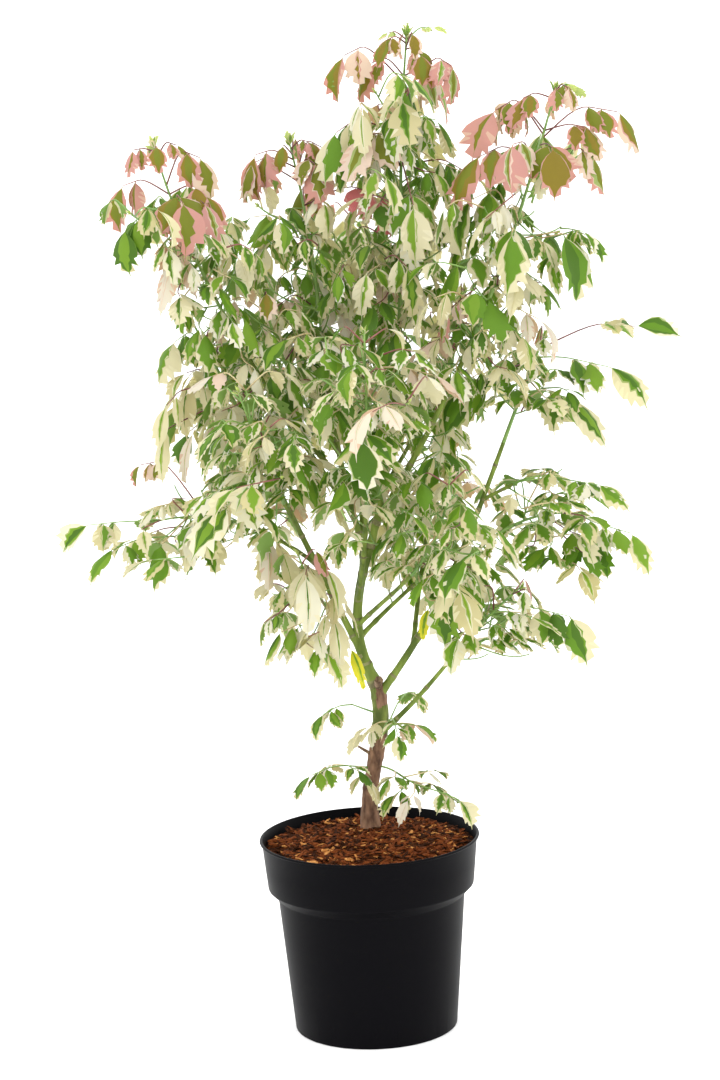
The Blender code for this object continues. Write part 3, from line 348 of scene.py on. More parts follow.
# Windows of sky in the crown as it is seen from the front: left, right, low and high.
SKY = (
    (0.128, 0.205, 0.612, 0.668),
    (-0.40, -0.118, 0.20, 0.490),
    (0.225, 0.420, 0.606, 0.628),
    (0.150, 0.420, 0.20, 0.385),
    (-0.40, -0.212, 0.640, 0.715),
    (-0.40, -0.178, 0.715, 0.775),
    (-0.40, -0.208, 0.775, 0.862),
    (-0.40, -0.262, 0.862, 1.200),
    (-0.131, -0.106, 0.905, 0.980),
    (0.118, 0.150, 0.945, 1.005),
    (0.275, 0.420, 0.775, 0.928),
    (0.205, 0.420, 0.868, 0.900),
)

# Leaves that spring straight from the trunk: how far up it, the tip of the twig, and the way it
# leaves.
TRUNK_TWIGS = (
    ("trunk_leaf_left", 0.80, (-0.014, -0.005, 0.362), (-1.0, -0.45, 0.45)),
    ("trunk_leaf_low_left", 0.42, (-0.024, 0.004, 0.292), (-1.0, -0.35, 0.25)),
    ("trunk_leaf_right", 0.44, (0.056, -0.005, 0.268), (1.0, -0.40, 0.00)),
    ("trunk_leaf_back", 0.60, (0.038, 0.078, 0.343), (0.55, 1.0, 0.60)),
    ("trunk_leaf_front", 0.66, (0.026, -0.012, 0.345), (0.30, -1.0, 0.60)),
)

TRUNK_TWIG_RADII = (0.0016, 0.0011)

SPACE_POINTS = 5
SPACE_SAG = 0.018
SPACE_MARGIN = 0.0012
LIMB_MARGIN = 0.0010
REACH_MARGIN = 0.005

TRIES = 24
FINE_TRIES = 10
TWIG_SIDES = 3
TWIG_FATNESS = 1.5
STALK_ROOT_RADIUS = 0.0012
STALK_END_RADIUS = 0.0009
STALK_ROOT_OFFSET = 0.0007
PAIR_ROOT = 0.0036
FIRST_NODE = 0.010
FIRST_INTERNODE = 0.030
INTERNODE_GROWTH = 1.25
LONGEST_INTERNODE = 0.045
FULL_LEAFLET = 0.070
YOUNG_LEAFLET = 0.032
LEAFLET_GROWTH = 0.014
TRUNK_LEAFLET = 0.036
LEAFLET_WIDTH_SHARE = 0.58
LEAFLET_WIDEST = 0.40
LEAFLET_THICKNESS = 0.0018
SIDE_TWIG_LENGTH = 0.070
SIDE_TWIG_RADII = (0.0019, 0.0016)


@dataclass(frozen=True)
class LeafFinish:
    """A soft matt leaf surface that lets some light through."""

    name: str
    colour: tuple[float, float, float]
    roughness: float = 0.50
    clear: float = 0.50

    def build(self) -> bpy.types.Material:
        """Gives the leaf's material, with a fine grainy bump."""
        made = bpy.data.materials.new(self.name)
        made.use_nodes = True
        tree = made.node_tree
        shader = tree.nodes["Principled BSDF"]
        shader.inputs["Base Color"].default_value = (*self.colour, 1)
        shader.inputs["Roughness"].default_value = self.roughness
        shader.inputs["Specular IOR Level"].default_value = 0.22
        place = tree.nodes.new("ShaderNodeTexCoord")
        grain = tree.nodes.new("ShaderNodeTexNoise")
        grain.inputs["Scale"].default_value = 420
        grain.inputs["Detail"].default_value = 3
        bump = tree.nodes.new("ShaderNodeBump")
        bump.inputs["Strength"].default_value = 0.25
        bump.inputs["Distance"].default_value = 0.0008
        through = tree.nodes.new("ShaderNodeBsdfTranslucent")
        red, green, blue = self.colour
        through.inputs["Color"].default_value = (red, green, blue * WARM_LIGHT, 1)
        mix = tree.nodes.new("ShaderNodeMixShader")
        mix.inputs["Fac"].default_value = self.clear
        out = tree.nodes["Material Output"]
        link = tree.links.new
        link(place.outputs["Object"], grain.inputs["Vector"])
        link(grain.outputs["Fac"], bump.inputs["Height"])
        link(bump.outputs["Normal"], shader.inputs["Normal"])
        link(shader.outputs["BSDF"], mix.inputs[1])
        link(through.outputs["BSDF"], mix.inputs[2])
        link(mix.outputs["Shader"], out.inputs["Surface"])
        return made


@dataclass(frozen=True)
class GrainFinish:
    """An opaque surface whose colour wanders between two tones, with a bump."""

    name: str
    dark: tuple[float, float, float]
    light: tuple[float, float, float]
    roughness: float
    scale: float
    stretch: tuple[float, float, float] = (1.0, 1.0, 1.0)
    bump: float = 0.4
    depth: float = 0.001
    detail: float = 6.0
    gloss: float = 0.5

    def build(self) -> bpy.types.Material:
        """Gives the material."""
        made = bpy.data.materials.new(self.name)
        made.use_nodes = True
        tree = made.node_tree
        shader = tree.nodes["Principled BSDF"]
        shader.inputs["Roughness"].default_value = self.roughness
        shader.inputs["Specular IOR Level"].default_value = self.gloss
        place = tree.nodes.new("ShaderNodeTexCoord")
        mapping = tree.nodes.new("ShaderNodeMapping")
        mapping.inputs["Scale"].default_value = self.stretch
        grain = tree.nodes.new("ShaderNodeTexNoise")
        grain.inputs["Scale"].default_value = self.scale
        grain.inputs["Detail"].default_value = self.detail
        ramp = tree.nodes.new("ShaderNodeValToRGB")
        ramp.color_ramp.elements[0].position = 0.36
        ramp.color_ramp.elements[0].color = (*self.dark, 1)
        ramp.color_ramp.elements[1].position = 0.64
        ramp.color_ramp.elements[1].color = (*self.light, 1)
        bump = tree.nodes.new("ShaderNodeBump")
        bump.inputs["Strength"].default_value = self.bump
        bump.inputs["Distance"].default_value = self.depth
        link = tree.links.new
        link(place.outputs["Object"], mapping.inputs["Vector"])
        link(mapping.outputs["Vector"], grain.inputs["Vector"])
        link(grain.outputs["Fac"], ramp.inputs["Fac"])
        link(ramp.outputs["Color"], shader.inputs["Base Color"])
        link(grain.outputs["Fac"], bump.inputs["Height"])
        link(bump.outputs["Normal"], shader.inputs["Normal"])
        return made


WARM_LIGHT = 0.70
LEAF_FINISHES = {
    Tint.DEEP_GREEN: LeafFinish("leaf_deep_green", (0.095, 0.200, 0.022)),
    Tint.LEAF_GREEN: LeafFinish("leaf_green", (0.155, 0.305, 0.026)),
    Tint.FRESH_GREEN: LeafFinish("leaf_fresh_green", (0.230, 0.385, 0.036)),
    Tint.GREY_GREEN: LeafFinish("leaf_grey_green", (0.400, 0.470, 0.170)),
    Tint.CREAM: LeafFinish("leaf_cream", (0.710, 0.670, 0.500)),
    Tint.IVORY: LeafFinish("leaf_ivory", (0.760, 0.740, 0.660)),
    Tint.BUFF: LeafFinish("leaf_buff", (0.610, 0.560, 0.350)),
    Tint.BLUSH: LeafFinish("leaf_blush", (0.740, 0.620, 0.530)),
    Tint.PINK: LeafFinish("leaf_pink", (0.620, 0.340, 0.310)),
    Tint.ROSE: LeafFinish("leaf_rose", (0.640, 0.200, 0.220)),
    Tint.BRONZE: LeafFinish("leaf_bronze", (0.295, 0.215, 0.030)),
    Tint.OLIVE: LeafFinish("leaf_olive", (0.230, 0.250, 0.028)),
    Tint.YELLOW: LeafFinish("leaf_yellow", (0.720, 0.680, 0.050)),
    Tint.GREEN_BACK: LeafFinish("leaf_green_back", (0.280, 0.430, 0.110), 0.68),
    Tint.CREAM_BACK: LeafFinish("leaf_cream_back", (0.770, 0.730, 0.570), 0.68),
    Tint.PINK_BACK: LeafFinish("leaf_pink_back", (0.700, 0.520, 0.420), 0.68),
    Tint.BUD_GREEN: LeafFinish("leaf_bud_green", (0.560, 0.640, 0.230)),
}


@dataclass(frozen=True)
class Palette:
    """The tints of one kind of leaf: its green middle, the zone beside it, its margin, its back."""

    inner: tuple[Tint, ...]
    outer: tuple[Tint, ...]
    between: tuple[Tint, ...]
    margin: tuple[Tint, ...]
    back: tuple[Tint, Tint]
    green: tuple[float, float]
    splash: float = 0.0


GREENS = (Tint.DEEP_GREEN, Tint.LEAF_GREEN, Tint.LEAF_GREEN, Tint.FRESH_GREEN)
CREAMS = (Tint.CREAM, Tint.IVORY, Tint.CREAM, Tint.BUFF)
PLAIN_BACK = (Tint.GREEN_BACK, Tint.CREAM_BACK)
PINK_BACKS = (Tint.GREEN_BACK, Tint.PINK_BACK)
YOUNG_KINDS = (Kind.YOUNG, Kind.PINK, Kind.ROSE)
PALE_KINDS = (Kind.CREAM, Kind.BLUSH, Kind.YELLOW)
PALETTES = {
    Kind.VARIEGATED: Palette(GREENS, GREENS, (Tint.GREY_GREEN,), CREAMS, PLAIN_BACK, (0.38, 0.94), 0.025),
    Kind.GREEN: Palette(GREENS, GREENS, (Tint.LEAF_GREEN,), CREAMS, PLAIN_BACK, (0.92, 1.15)),
    Kind.CREAM: Palette(GREENS, (Tint.GREY_GREEN,), CREAMS, CREAMS, PLAIN_BACK[1:] * 2, (0.02, 0.22)),
    Kind.BLUSH: Palette(
        (Tint.GREY_GREEN,), (Tint.BLUSH,), (Tint.BLUSH,), (Tint.BLUSH, Tint.IVORY, Tint.BLUSH, Tint.IVORY),
        PINK_BACKS[1:] * 2, (0.02, 0.16),
    ),
    Kind.YOUNG: Palette(
        (Tint.OLIVE, Tint.BRONZE, Tint.OLIVE), (Tint.OLIVE, Tint.BRONZE), (Tint.BRONZE, Tint.PINK),
        (Tint.PINK, Tint.BLUSH, Tint.PINK), PINK_BACKS, (0.34, 0.84),
    ),
    Kind.PINK: Palette(
        (Tint.FRESH_GREEN, Tint.OLIVE), (Tint.GREY_GREEN, Tint.OLIVE), (Tint.BLUSH,), (Tint.PINK, Tint.BLUSH),
        PINK_BACKS, (0.20, 0.62),
    ),
    Kind.ROSE: Palette((Tint.ROSE,), (Tint.ROSE,), (Tint.PINK,), (Tint.ROSE, Tint.PINK), PINK_BACKS[1:] * 2, (0.4, 0.9)),
    Kind.YELLOW: Palette((Tint.FRESH_GREEN,), (Tint.YELLOW,), (Tint.YELLOW,), (Tint.YELLOW,), PLAIN_BACK, (0.25, 0.60)),
    Kind.BUD: Palette((Tint.BUD_GREEN,), (Tint.BUD_GREEN,), (Tint.BUD_GREEN,), (Tint.BUD_GREEN, Tint.BLUSH), PLAIN_BACK, (0.3, 1.0)),
}

TRUNK_BARK = GrainFinish(
    "brown_trunk_bark", (0.075, 0.034, 0.017), (0.255, 0.140, 0.080), 0.85, 150, (1, 1, 0.35), 0.8, 0.0012
)
GREEN_TRUNK_BARK = GrainFinish(
    "green_trunk_bark", (0.066, 0.090, 0.018), (0.180, 0.220, 0.048), 0.70, 120, (1, 1, 0.35), 0.6, 0.0010, 6.0, 0.2
)
GREEN_BARK = GrainFinish(
    "green_bough_bark", (0.078, 0.118, 0.018), (0.200, 0.270, 0.048), 0.60, 70, (1, 1, 0.3), 0.25, 0.0006, 6.0, 0.2
)
NODE_BARK = GrainFinish("node_bark", (0.110, 0.100, 0.036), (0.220, 0.220, 0.080), 0.7, 160, (1, 1, 1), 0.5, 0.0006)
TWIG_GREEN = GrainFinish(
    "twig_green", (0.120, 0.240, 0.045), (0.230, 0.360, 0.085), 0.5, 60, (1, 1, 0.4), 0.2, 0.0004
)
STALK_RED = GrainFinish("stalk_red", (0.120, 0.034, 0.030), (0.260, 0.095, 0.075), 0.5, 40, (1, 1, 1), 0.2, 0.0004)
STALK_TAN = GrainFinish("stalk_tan", (0.360, 0.250, 0.110), (0.560, 0.480, 0.260), 0.5, 40, (1, 1, 1), 0.2, 0.0004)
POT_PLASTIC = GrainFinish(
    "black_pot_plastic", (0.0009, 0.0008, 0.0014), (0.0018, 0.0016, 0.0026), 0.44, 900, (1, 1, 1), 0.12, 0.0002, 6.0, 0.045
)
SOIL_BARK = GrainFinish(
    "mulch_bed", (0.009, 0.003, 0.0015), (0.080, 0.024, 0.008), 0.95, 130, (1, 1, 1), 0.9, 0.003, 6.0, 0.05
)
CHIP_FINISHES = (
    GrainFinish(
        "chip_red_brown", (0.066, 0.015, 0.004), (0.185, 0.050, 0.013), 0.9, 240, (1, 1, 1), 0.7, 0.001, 6.0, 0.05
    ),
    GrainFinish("chip_dark", (0.014, 0.005, 0.002), (0.056, 0.017, 0.006), 0.95, 240, (1, 1, 1), 0.7, 0.001, 6.0, 0.05),
    GrainFinish("chip_ochre", (0.300, 0.110, 0.026), (0.560, 0.260, 0.080), 0.9, 240, (1, 1, 1), 0.7, 0.001, 6.0, 0.05),
)
FLOOR_FINISH = GrainFinish("pale_floor", (0.94, 0.94, 0.94), (0.96, 0.96, 0.96), 0.9, 2, (1, 1, 1), 0.0, 0.001)


def new_object(name: str, points: list, faces: list, slots: list, indices: object = None) -> bpy.types.Object:
    """Makes a smooth mesh object.

    Args:
        name: the piece's name.
        points: its vertices.
        faces: its faces.
        slots: its materials.
        indices: the slot of each face, or none where all take the first.

    Returns:
        The object, linked to the scene.
    """
    mesh = bpy.data.meshes.new(name)
    mesh.from_pydata([tuple(point) for point in points], [], faces)
    for slot in slots:
        mesh.materials.append(slot)
    if indices is not None:
        mesh.polygons.foreach_set("material_index", indices)
    mesh.shade_smooth()
    item = bpy.data.objects.new(name, mesh)
    bpy.context.scene.collection.objects.link(item)
    return item


def keep_piece(item: bpy.types.Object, slot: str, *nodes: str) -> None:
    """Rides a piece on the plant, hides the CAD nodes it stands for, and logs it."""
    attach(item, "root")
    if nodes:
        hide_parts(*nodes)
    LOG.info("%s: %d faces", item.name, len(item.data.polygons))


def bezier(ends: tuple, share: float) -> Vector:
    """Gives the point of a cubic curve at a share of its length."""
    first, second, third, last = ends
    rest = 1 - share
    return (
        first * rest**3
        + second * (3 * rest**2 * share)
        + third * (3 * rest * share**2)
        + last * share**3
    )


class Curve:
    """A smooth limb axis, sampled evenly enough to be read by its length."""

    def __init__(self, start: Vector, tip: Vector, leave: Vector, heading: Vector) -> None:
        """Samples the curve from its start to its tip."""
        reach = (tip - start).length * HANDLE_SHARE
        ends = (start, start + leave.normalized() * reach, tip - heading.normalized() * reach, tip)
        self.points = [bezier(ends, step / CURVE_STEPS) for step in range(CURVE_STEPS + 1)]
        self.lengths = [0.0]
        for before, after in zip(self.points, self.points[1:]):
            self.lengths.append(self.lengths[-1] + (after - before).length)
        self.length = self.lengths[-1]

    def at(self, distance: float) -> tuple[Vector, Vector]:
        """Gives the point and the direction at a distance from the start."""
        distance = min(max(distance, 0.0), self.length)
        for step in range(1, CURVE_STEPS + 1):
            if self.lengths[step] >= distance:
                break
        before, after = self.points[step - 1], self.points[step]
        span = self.lengths[step] - self.lengths[step - 1]
        share = (distance - self.lengths[step - 1]) / span
        return before.lerp(after, share), (after - before).normalized()


def square_to(direction: Vector) -> tuple[Vector, Vector]:
    """Gives two unit vectors square to a direction and to each other."""
    across = direction.cross(UP)
    if across.length < 0.05:
        across = direction.cross(Vector((1, 0, 0)))
    across.normalize()
    return across, across.cross(direction).normalized()


def tube(points: list, radii: list, sides: int, relief: object = None) -> tuple[list, list]:
    """Gives the points and faces of a closed tapering tube.

    Args:
        points: the axis.
        radii: the radius at each of its points.
        sides: how many sides the tube has.
        relief: gives the share by which the surface stands out at a place, or none.

    Returns:
        The vertices and the faces, the two ends first and then ring by ring.
    """
    spots = []
    across, _ = square_to((points[1] - points[0]).normalized())
    for place, point in enumerate(points):
        ahead = points[min(place + 1, len(points) - 1)] - points[max(place - 1, 0)]
        ahead.normalize()
        across = (across - ahead * across.dot(ahead)).normalized()
        above = across.cross(ahead)
        for side in range(sides):
            turn = 2 * math.pi * side / sides
            way = across * math.cos(turn) + above * math.sin(turn)
            radius = radii[place]
            if relief:
                radius *= 1 + relief(point + way * radius, turn)
            spots.append(point + way * radius)
    rings = len(points)
    faces = [list(range(sides)), list(reversed(range((rings - 1) * sides, rings * sides)))]
    for ring in range(rings - 1):
        for side in range(sides):
            low = ring * sides + side
            low_next = ring * sides + (side + 1) % sides
            faces.append([low + sides, low_next + sides, low_next, low])
    return spots, faces


def radius_along(radii: tuple, share: float) -> float:
    """Gives a radius read from evenly spaced radii at a share of the length."""
    place = min(share, 0.9999) * (len(radii) - 1)
    low = int(place)
    return radii[low] + (radii[low + 1] - radii[low]) * (place - low)


@dataclass
class Limb:
    """A shoot or the trunk: its axis, its radii, and where its bough gives way to foliage."""

    name: str
    curve: Curve
    radii: tuple
    parent: "Limb | None" = None
    parent_distance: float = 0.0
    leafy: float = 0.0
    hang: float = 0.8
    bare: float = field(init=False)

    def __post_init__(self) -> None:
        """Sets the bare length below the leaves."""
        self.bare = self.curve.length - self.leafy

    def radius(self, distance: float) -> float:
        """Gives the limb's radius at a distance from its foot."""
        return radius_along(self.radii, distance / self.curve.length)

    def barrier(self) -> BVHTree:
        """Gives a search tree of the bare limb, a little fattened, for foliage to avoid."""
        first = 0.0 if self.parent is None else self.parent.radius(self.parent_distance) + 0.002
        places = [first + (self.bare - first) * step / 10 for step in range(11)]
        radii = [self.radius(place) + LIMB_MARGIN for place in places]
        return tree_of(*tube([self.curve.at(place)[0] for place in places], radii, 6))


def grow_limbs() -> dict[str, Limb]:
    """Gives the trunk and every shoot by name, each starting on the one that carries it."""
    trunk = Curve(TRUNK_FOOT, TRUNK_FORK, TRUNK_LEAVE, TRUNK_HEADING)
    limbs = {"trunk": Limb("trunk", trunk, TRUNK_RADII)}
    for name, parent, share, tip, leave, heading, thick, thin, leafy, hang in SHOOTS:
        carrier = limbs[parent]
        distance = carrier.curve.length * share
        start, _ = carrier.curve.at(distance)
        curve = Curve(start, Vector(tip), Vector(leave), Vector(heading))
        limbs[name] = Limb(name, curve, (thick, thin), carrier, distance, leafy, hang)
    for name, share, tip, leave in TRUNK_TWIGS:
        carrier = limbs["trunk"]
        distance = carrier.curve.length * share
        start, _ = carrier.curve.at(distance)
        curve = Curve(start, Vector(tip), Vector(leave), Vector(tip) - start)
        limbs[name] = Limb(name, curve, TRUNK_TWIG_RADII, carrier, distance, curve.length)
        limbs[name].bare = 0.0
    return limbs


class Space:
    """How the masses of foliage share the crown out: each keeps to what lies nearest its own stem."""

    def __init__(self, limbs: dict[str, Limb]) -> None:
        """Samples the leafy stretch of every shoot."""
        centres = []
        owners = []
        for limb in limbs.values():
            for count in range(SPACE_POINTS if limb.leafy else 0):
                share = count / (SPACE_POINTS - 1)
                point, _ = limb.curve.at(limb.curve.length - limb.leafy * share)
                centres.append(point - UP * SPACE_SAG)
                owners.append(limb.name)
        self.centres = np.array(centres)
        self.owners = np.array(owners)
        self.low = np.array(CAD_BOX[0]) - REACH_MARGIN
        self.high = np.array(CAD_BOX[1]) + REACH_MARGIN

    def holds(self, name: str, points: list, margin: float) -> bool:
        """Says whether points all lie nearer the stem of a mass than any other, by a margin."""
        spots = np.array(points)
        apart = np.linalg.norm(spots[:, None] - self.centres[None], axis=2)
        own = apart[:, self.owners == name].min(axis=1)
        other = apart[:, self.owners != name].min(axis=1)
        return bool((other - own > 2 * margin).all())

    def seen_from_front(self, points: list) -> np.ndarray:
        """Gives how far across and how high points seem, in the plane through the pot's middle."""
        spots = np.array(points)
        nearer = EYE_DISTANCE / (EYE_DISTANCE + spots[:, 1])
        return np.stack([spots[:, 0] * nearer, EYE_HEIGHT + (spots[:, 2] - EYE_HEIGHT) * nearer], axis=1)

    def shows_sky(self, points: list, windows: tuple) -> bool:
        """Says whether any point would cover one of some windows, seen from the front."""
        across, height = self.seen_from_front(points).T
        for left, right, low, high in windows:
            if ((across > left) & (across < right) & (height > low) & (height < high)).any():
                return True
        return False

    def reaches(self, points: list) -> bool:
        """Says whether points stay within the reach of the solids."""
        spots = np.array(points)
        return bool(((spots > self.low) & (spots < self.high)).all())


def settle_boughs(limbs: dict[str, Limb], space: Space) -> None:
    """Lengthens each bough to where its shoot enters the space of its own foliage."""
    for limb in limbs.values():
        if not limb.leafy or limb.bare == 0:
            continue
        distance = limb.curve.length
        while distance > limb.bare:
            if not space.holds(limb.name, [limb.curve.at(distance)[0]], SPACE_MARGIN):
                break
            distance -= 0.004
        limb.bare = max(limb.bare, distance)


def tree_of(points: list, faces: list) -> BVHTree:
    """Gives a search tree of a solid's faces."""
    return BVHTree.FromPolygons([tuple(point) for point in points], faces)


def blade_ring(root: Vector, ahead: Vector, face: Vector, length: float, width: float) -> tuple[list, Vector]:
    """Gives a leaflet's widest ring, as its two edges, its top and its underside, and its tip."""
    middle = root + ahead * (length * LEAFLET_WIDEST)
    side = ahead.cross(face).normalized() * (width / 2)
    lift = face * (LEAFLET_THICKNESS / 2)
    return [middle - side, middle + lift, middle + side, middle - lift], root + ahead * length


def spokes(corners: list, ahead: Vector) -> list[Vector]:
    """Gives unit vectors from the middle of four corners to each of them, seen along a direction."""
    middle = sum(corners, Vector()) / 4
    flat = [corner - middle - ahead * (corner - middle).dot(ahead) for corner in corners]
    return [spoke.normalized() for spoke in flat]


def add_blade(points: list, faces: list, root: list, leaflet: tuple) -> None:
    """Adds a plain side leaflet that grows from the four corners of one lower flank of a stalk."""
    ring, tip = blade_ring(*leaflet)
    ahead = leaflet[1]
    start = spokes([points[corner] for corner in root], ahead)
    aims = spokes(ring, ahead)
    if start[0].cross(start[1]).dot(ahead) * aims[0].cross(aims[1]).dot(ahead) < 0:
        ring.reverse()
        aims.reverse()
    twist = max(range(4), key=lambda turn: sum(start[side].dot(aims[(side + turn) % 4]) for side in range(4)))
    first = len(points)
    points += ring[twist:] + ring[:twist] + [tip]
    for side in range(4):
        after = (side + 1) % 4
        faces.append([root[side], root[after], first + after])
        faces.append([root[side], first + after, first + side])
        faces.append([first + side, first + after, first + 4])


def leaf_solid(places: list, radii: list, level: Vector, pairs: dict, last: tuple) -> tuple[list, list]:
    """Gives one leaf as the plain closed solid that the source makes of it.

    Args:
        places: the points along its stalk.
        radii: the stalk's radius at each.
        level: the way the leaf points.
        pairs: the two leaflets that grow between two rings of the stalk, by the first ring.
        last: the leaflet at the stalk's end.

    Returns:
        The vertices and the faces.
    """
    across = level.cross(UP)
    points = []
    for place, point in enumerate(places):
        way = (places[min(place + 1, len(places) - 1)] - places[max(place - 1, 0)]).normalized()
        if place == len(places) - 1:
            way = (way + last[1]).normalized()
        flat = (across - way * across.dot(way)).normalized()
        above = flat.cross(way)
        for turn in (150, 270, 30):
            angle = math.radians(turn)
            points.append(point + (flat * math.cos(angle) + above * math.sin(angle)) * radii[place])
    faces = [[0, 1, 2]]
    flanks = {}
    for ring in range(len(places) - 1):
        for side in range(3):
            low, after = 3 * ring + side, 3 * ring + (side + 1) % 3
            flanks[ring, side] = [low, after, after + 3, low + 3]
    for ring, both in pairs.items():
        add_blade(points, faces, flanks.pop((ring, 0)), both[0])
        keel_back, right_back, right_front, keel_front = flanks.pop((ring, 1))
        add_blade(points, faces, [right_back, keel_back, keel_front, right_front], both[1])
    faces += flanks.values()
    end = 3 * (len(places) - 1)
    ring, tip = blade_ring(*last)
    left, top, right, low, point = range(len(points), len(points) + 5)
    points += ring + [tip]
    faces += [[end, end + 1, low, left], [end + 1, end + 2, right, low]]
    faces += [[end + 2, end, top], [end, left, top], [end + 2, top, right]]
    faces += [[left, top, point], [top, right, point], [right, low, point], [low, left, point]]
    return points, faces


def crosses_itself(faces: list, tree: BVHTree) -> bool:
    """Says whether two faces of a solid that share no corner touch."""
    for one, other in tree.overlap(tree):
        if one < other and not set(faces[one]) & set(faces[other]):
            return True
    return False


class Leaf:
    """One leaf: a bent stalk with a pair or two of leaflets along it and one at its end."""

    def __init__(
        self,
        rng: random.Random,
        root: Vector,
        start: Vector,
        level: Vector,
        stalk: float,
        size: float,
        hang: float,
        pairs: int,
    ) -> None:
        """Draws the leaf by chance, in the same order as the source does.

        Args:
            rng: the source of chance.
            root: where the leaf springs.
            start: the way its stalk sets off.
            level: the way it points, seen from above.
            stalk: the stalk's length.
            size: the length of its leaflets, about.
            hang: how far they hang, from 0 for level to 1 for nearly straight down.
            pairs: how many pairs it has.
        """
        self.level = level
        dip = math.radians(rng.uniform(5, 35) * hang)
        finish = (level * math.cos(dip) - UP * math.sin(dip)).normalized()
        bend = root + start * (stalk * 0.70)
        end = bend + finish * (stalk * 0.10 + size * 0.37 * pairs)
        hang = hang * rng.uniform(0.88, 1.12)
        self.places = [root, bend]
        self.pairs = {}
        for pair in range(pairs):
            place = bend.lerp(end, (pair + 0.75) / (pairs + 1))
            both = []
            for hand in (1, -1):
                turn = math.radians(hand * rng.uniform(58, 84))
                droop = math.radians(min(rng.uniform(54, 76) * hang, 78))
                roll = math.radians(hand * rng.uniform(-6, 18))
                length = size * rng.uniform(0.84, 1.00) * (1 - 0.07 * pairs)
                both.append(self.leaflet(rng, place, turn, droop, roll, length))
            self.pairs[len(self.places)] = both
            self.places += [place - finish * (PAIR_ROOT / 2), place + finish * (PAIR_ROOT / 2)]
        self.places.append(end)
        turn = math.radians(rng.uniform(-12, 12))
        droop = math.radians(rng.uniform(62, 84) * hang)
        roll = math.radians(rng.uniform(-16, 16))
        self.last = self.leaflet(rng, end, turn, droop, roll, size * rng.uniform(1.02, 1.18))

    def leaflet(
        self, rng: random.Random, root: Vector, turn: float, droop: float, roll: float, length: float
    ) -> tuple:
        """Gives one leaflet that hangs from the stalk, turned and rolled from its leaf's level."""
        way = Quaternion(UP, turn) @ self.level
        ahead = (way * math.cos(droop) - UP * math.sin(droop)).normalized()
        face = (way * math.sin(droop) + UP * math.cos(droop)).normalized()
        face = Quaternion(ahead, roll) @ face
        width = length * LEAFLET_WIDTH_SHARE * rng.uniform(0.90, 1.18)
        return root, ahead, face, length, width

    def leaflets(self) -> list[tuple]:
        """Gives all the leaf's leaflets."""
        return [leaflet for both in self.pairs.values() for leaflet in both] + [self.last]

    def solid(self) -> tuple[list, list]:
        """Gives the leaf's plain closed solid."""
        steps = len(self.places) - 1
        thin = STALK_ROOT_RADIUS - STALK_END_RADIUS
        radii = [STALK_ROOT_RADIUS - thin * place / steps for place in range(steps + 1)]
        return leaf_solid(self.places, radii, self.level, self.pairs, self.last)


ROW_U = np.array([0, 0.06, 0.13, 0.21, 0.31, 0.41, 0.50, 0.58, 0.66, 0.75, 0.87, 1.0])
ROW_WIDTH = np.array([0.03, 0.06, 0.50, 0.84, 1.0, 0.99, 0.90, 0.78, 0.60, 0.33, 0.10, 0.010])
YOUNG_WIDTH = np.array([0.03, 0.06, 0.50, 0.86, 1.0, 1.02, 0.96, 0.84, 0.58, 0.25, 0.07, 0.008])
ROW_TOOTH = np.array([0, 0, 0, 0, 0.01, 0.05, -0.08, 0.17, -0.10, 0.16, -0.02, 0])
ROW_LEAN = np.array([0, 0, 0, 0, 0, 0.01, -0.01, 0.04, -0.015, 0.045, 0, 0])
ROW_LOBE = np.array([0, 0, 0.2, -0.3, 0.5, -0.7, 1, -1, 1, -1, 0.6, 0])
GREEN_SHAPE = np.interp(ROW_U, (0, 0.15, 0.35, 0.60, 0.80, 1), (0.9, 1.0, 1.1, 0.98, 0.60, 0.1))
ROWS = len(ROW_U)
BANDS = ROWS - 1
COLUMNS = 9
MIDDLE = COLUMNS // 2
BLADE_THICKNESS = 0.0005
VEIN_SLANT = 0.14
SLENDERNESS = {Look.PLACED: (0.76, 0.96), Look.LEVEL: (0.78, 0.96), Look.COMMON: (0.68, 0.90), Look.FINE: (0.62, 0.86)}
YOUNG_BREADTH = 0.98
PALE_BREADTH = {Look.PLACED: 0.64, Look.LEVEL: 0.72, Look.COMMON: 0.90, Look.FINE: 0.90}
TOOTH_STRENGTH = ((0.6, 2.0), (0.1, 1.3))
HALF_GREENS = (0.12, 0.7, 1.0, 1.15)
HALF_SHARES = (0.16, 0.24, 0.36, 0.24)


def blade_grid() -> tuple[np.ndarray, np.ndarray]:
    """Gives one blade's corners, face after face, and how many corners each face has.

    The top has eight faces to a band, and the underside has four, which close onto it.
    """
    faces = []
    for row in range(BANDS):
        for column in range(COLUMNS - 1):
            low = row * COLUMNS + column
            faces.append([low, low + 1, low + COLUMNS + 1, low + COLUMNS])

    def under(row: int, place: int) -> list[int]:
        """Gives the underside's corners at one of five places across a row, ends taken from the top."""
        column = 2 * place
        if place in (0, 4) or row in (0, BANDS):
            return [row * COLUMNS + column]
        return [ROWS * COLUMNS + (row - 1) * 3 + place - 1]

    for row in range(BANDS):
        for place in range(4):
            near = under(row, place) + [row * COLUMNS + 2 * place + 1] * (row == 0) + under(row, place + 1)
            far = under(row + 1, place) + under(row + 1, place + 1)
            if row + 1 == BANDS:
                far.insert(1, BANDS * COLUMNS + 2 * place + 1)
            faces.append(list(reversed(near)) + far)
    return np.concatenate(faces), np.array([len(face) for face in faces])


BLADE_CORNERS, BLADE_SIZES = blade_grid()
BLADE_POINTS = ROWS * COLUMNS + (ROWS - 2) * 3


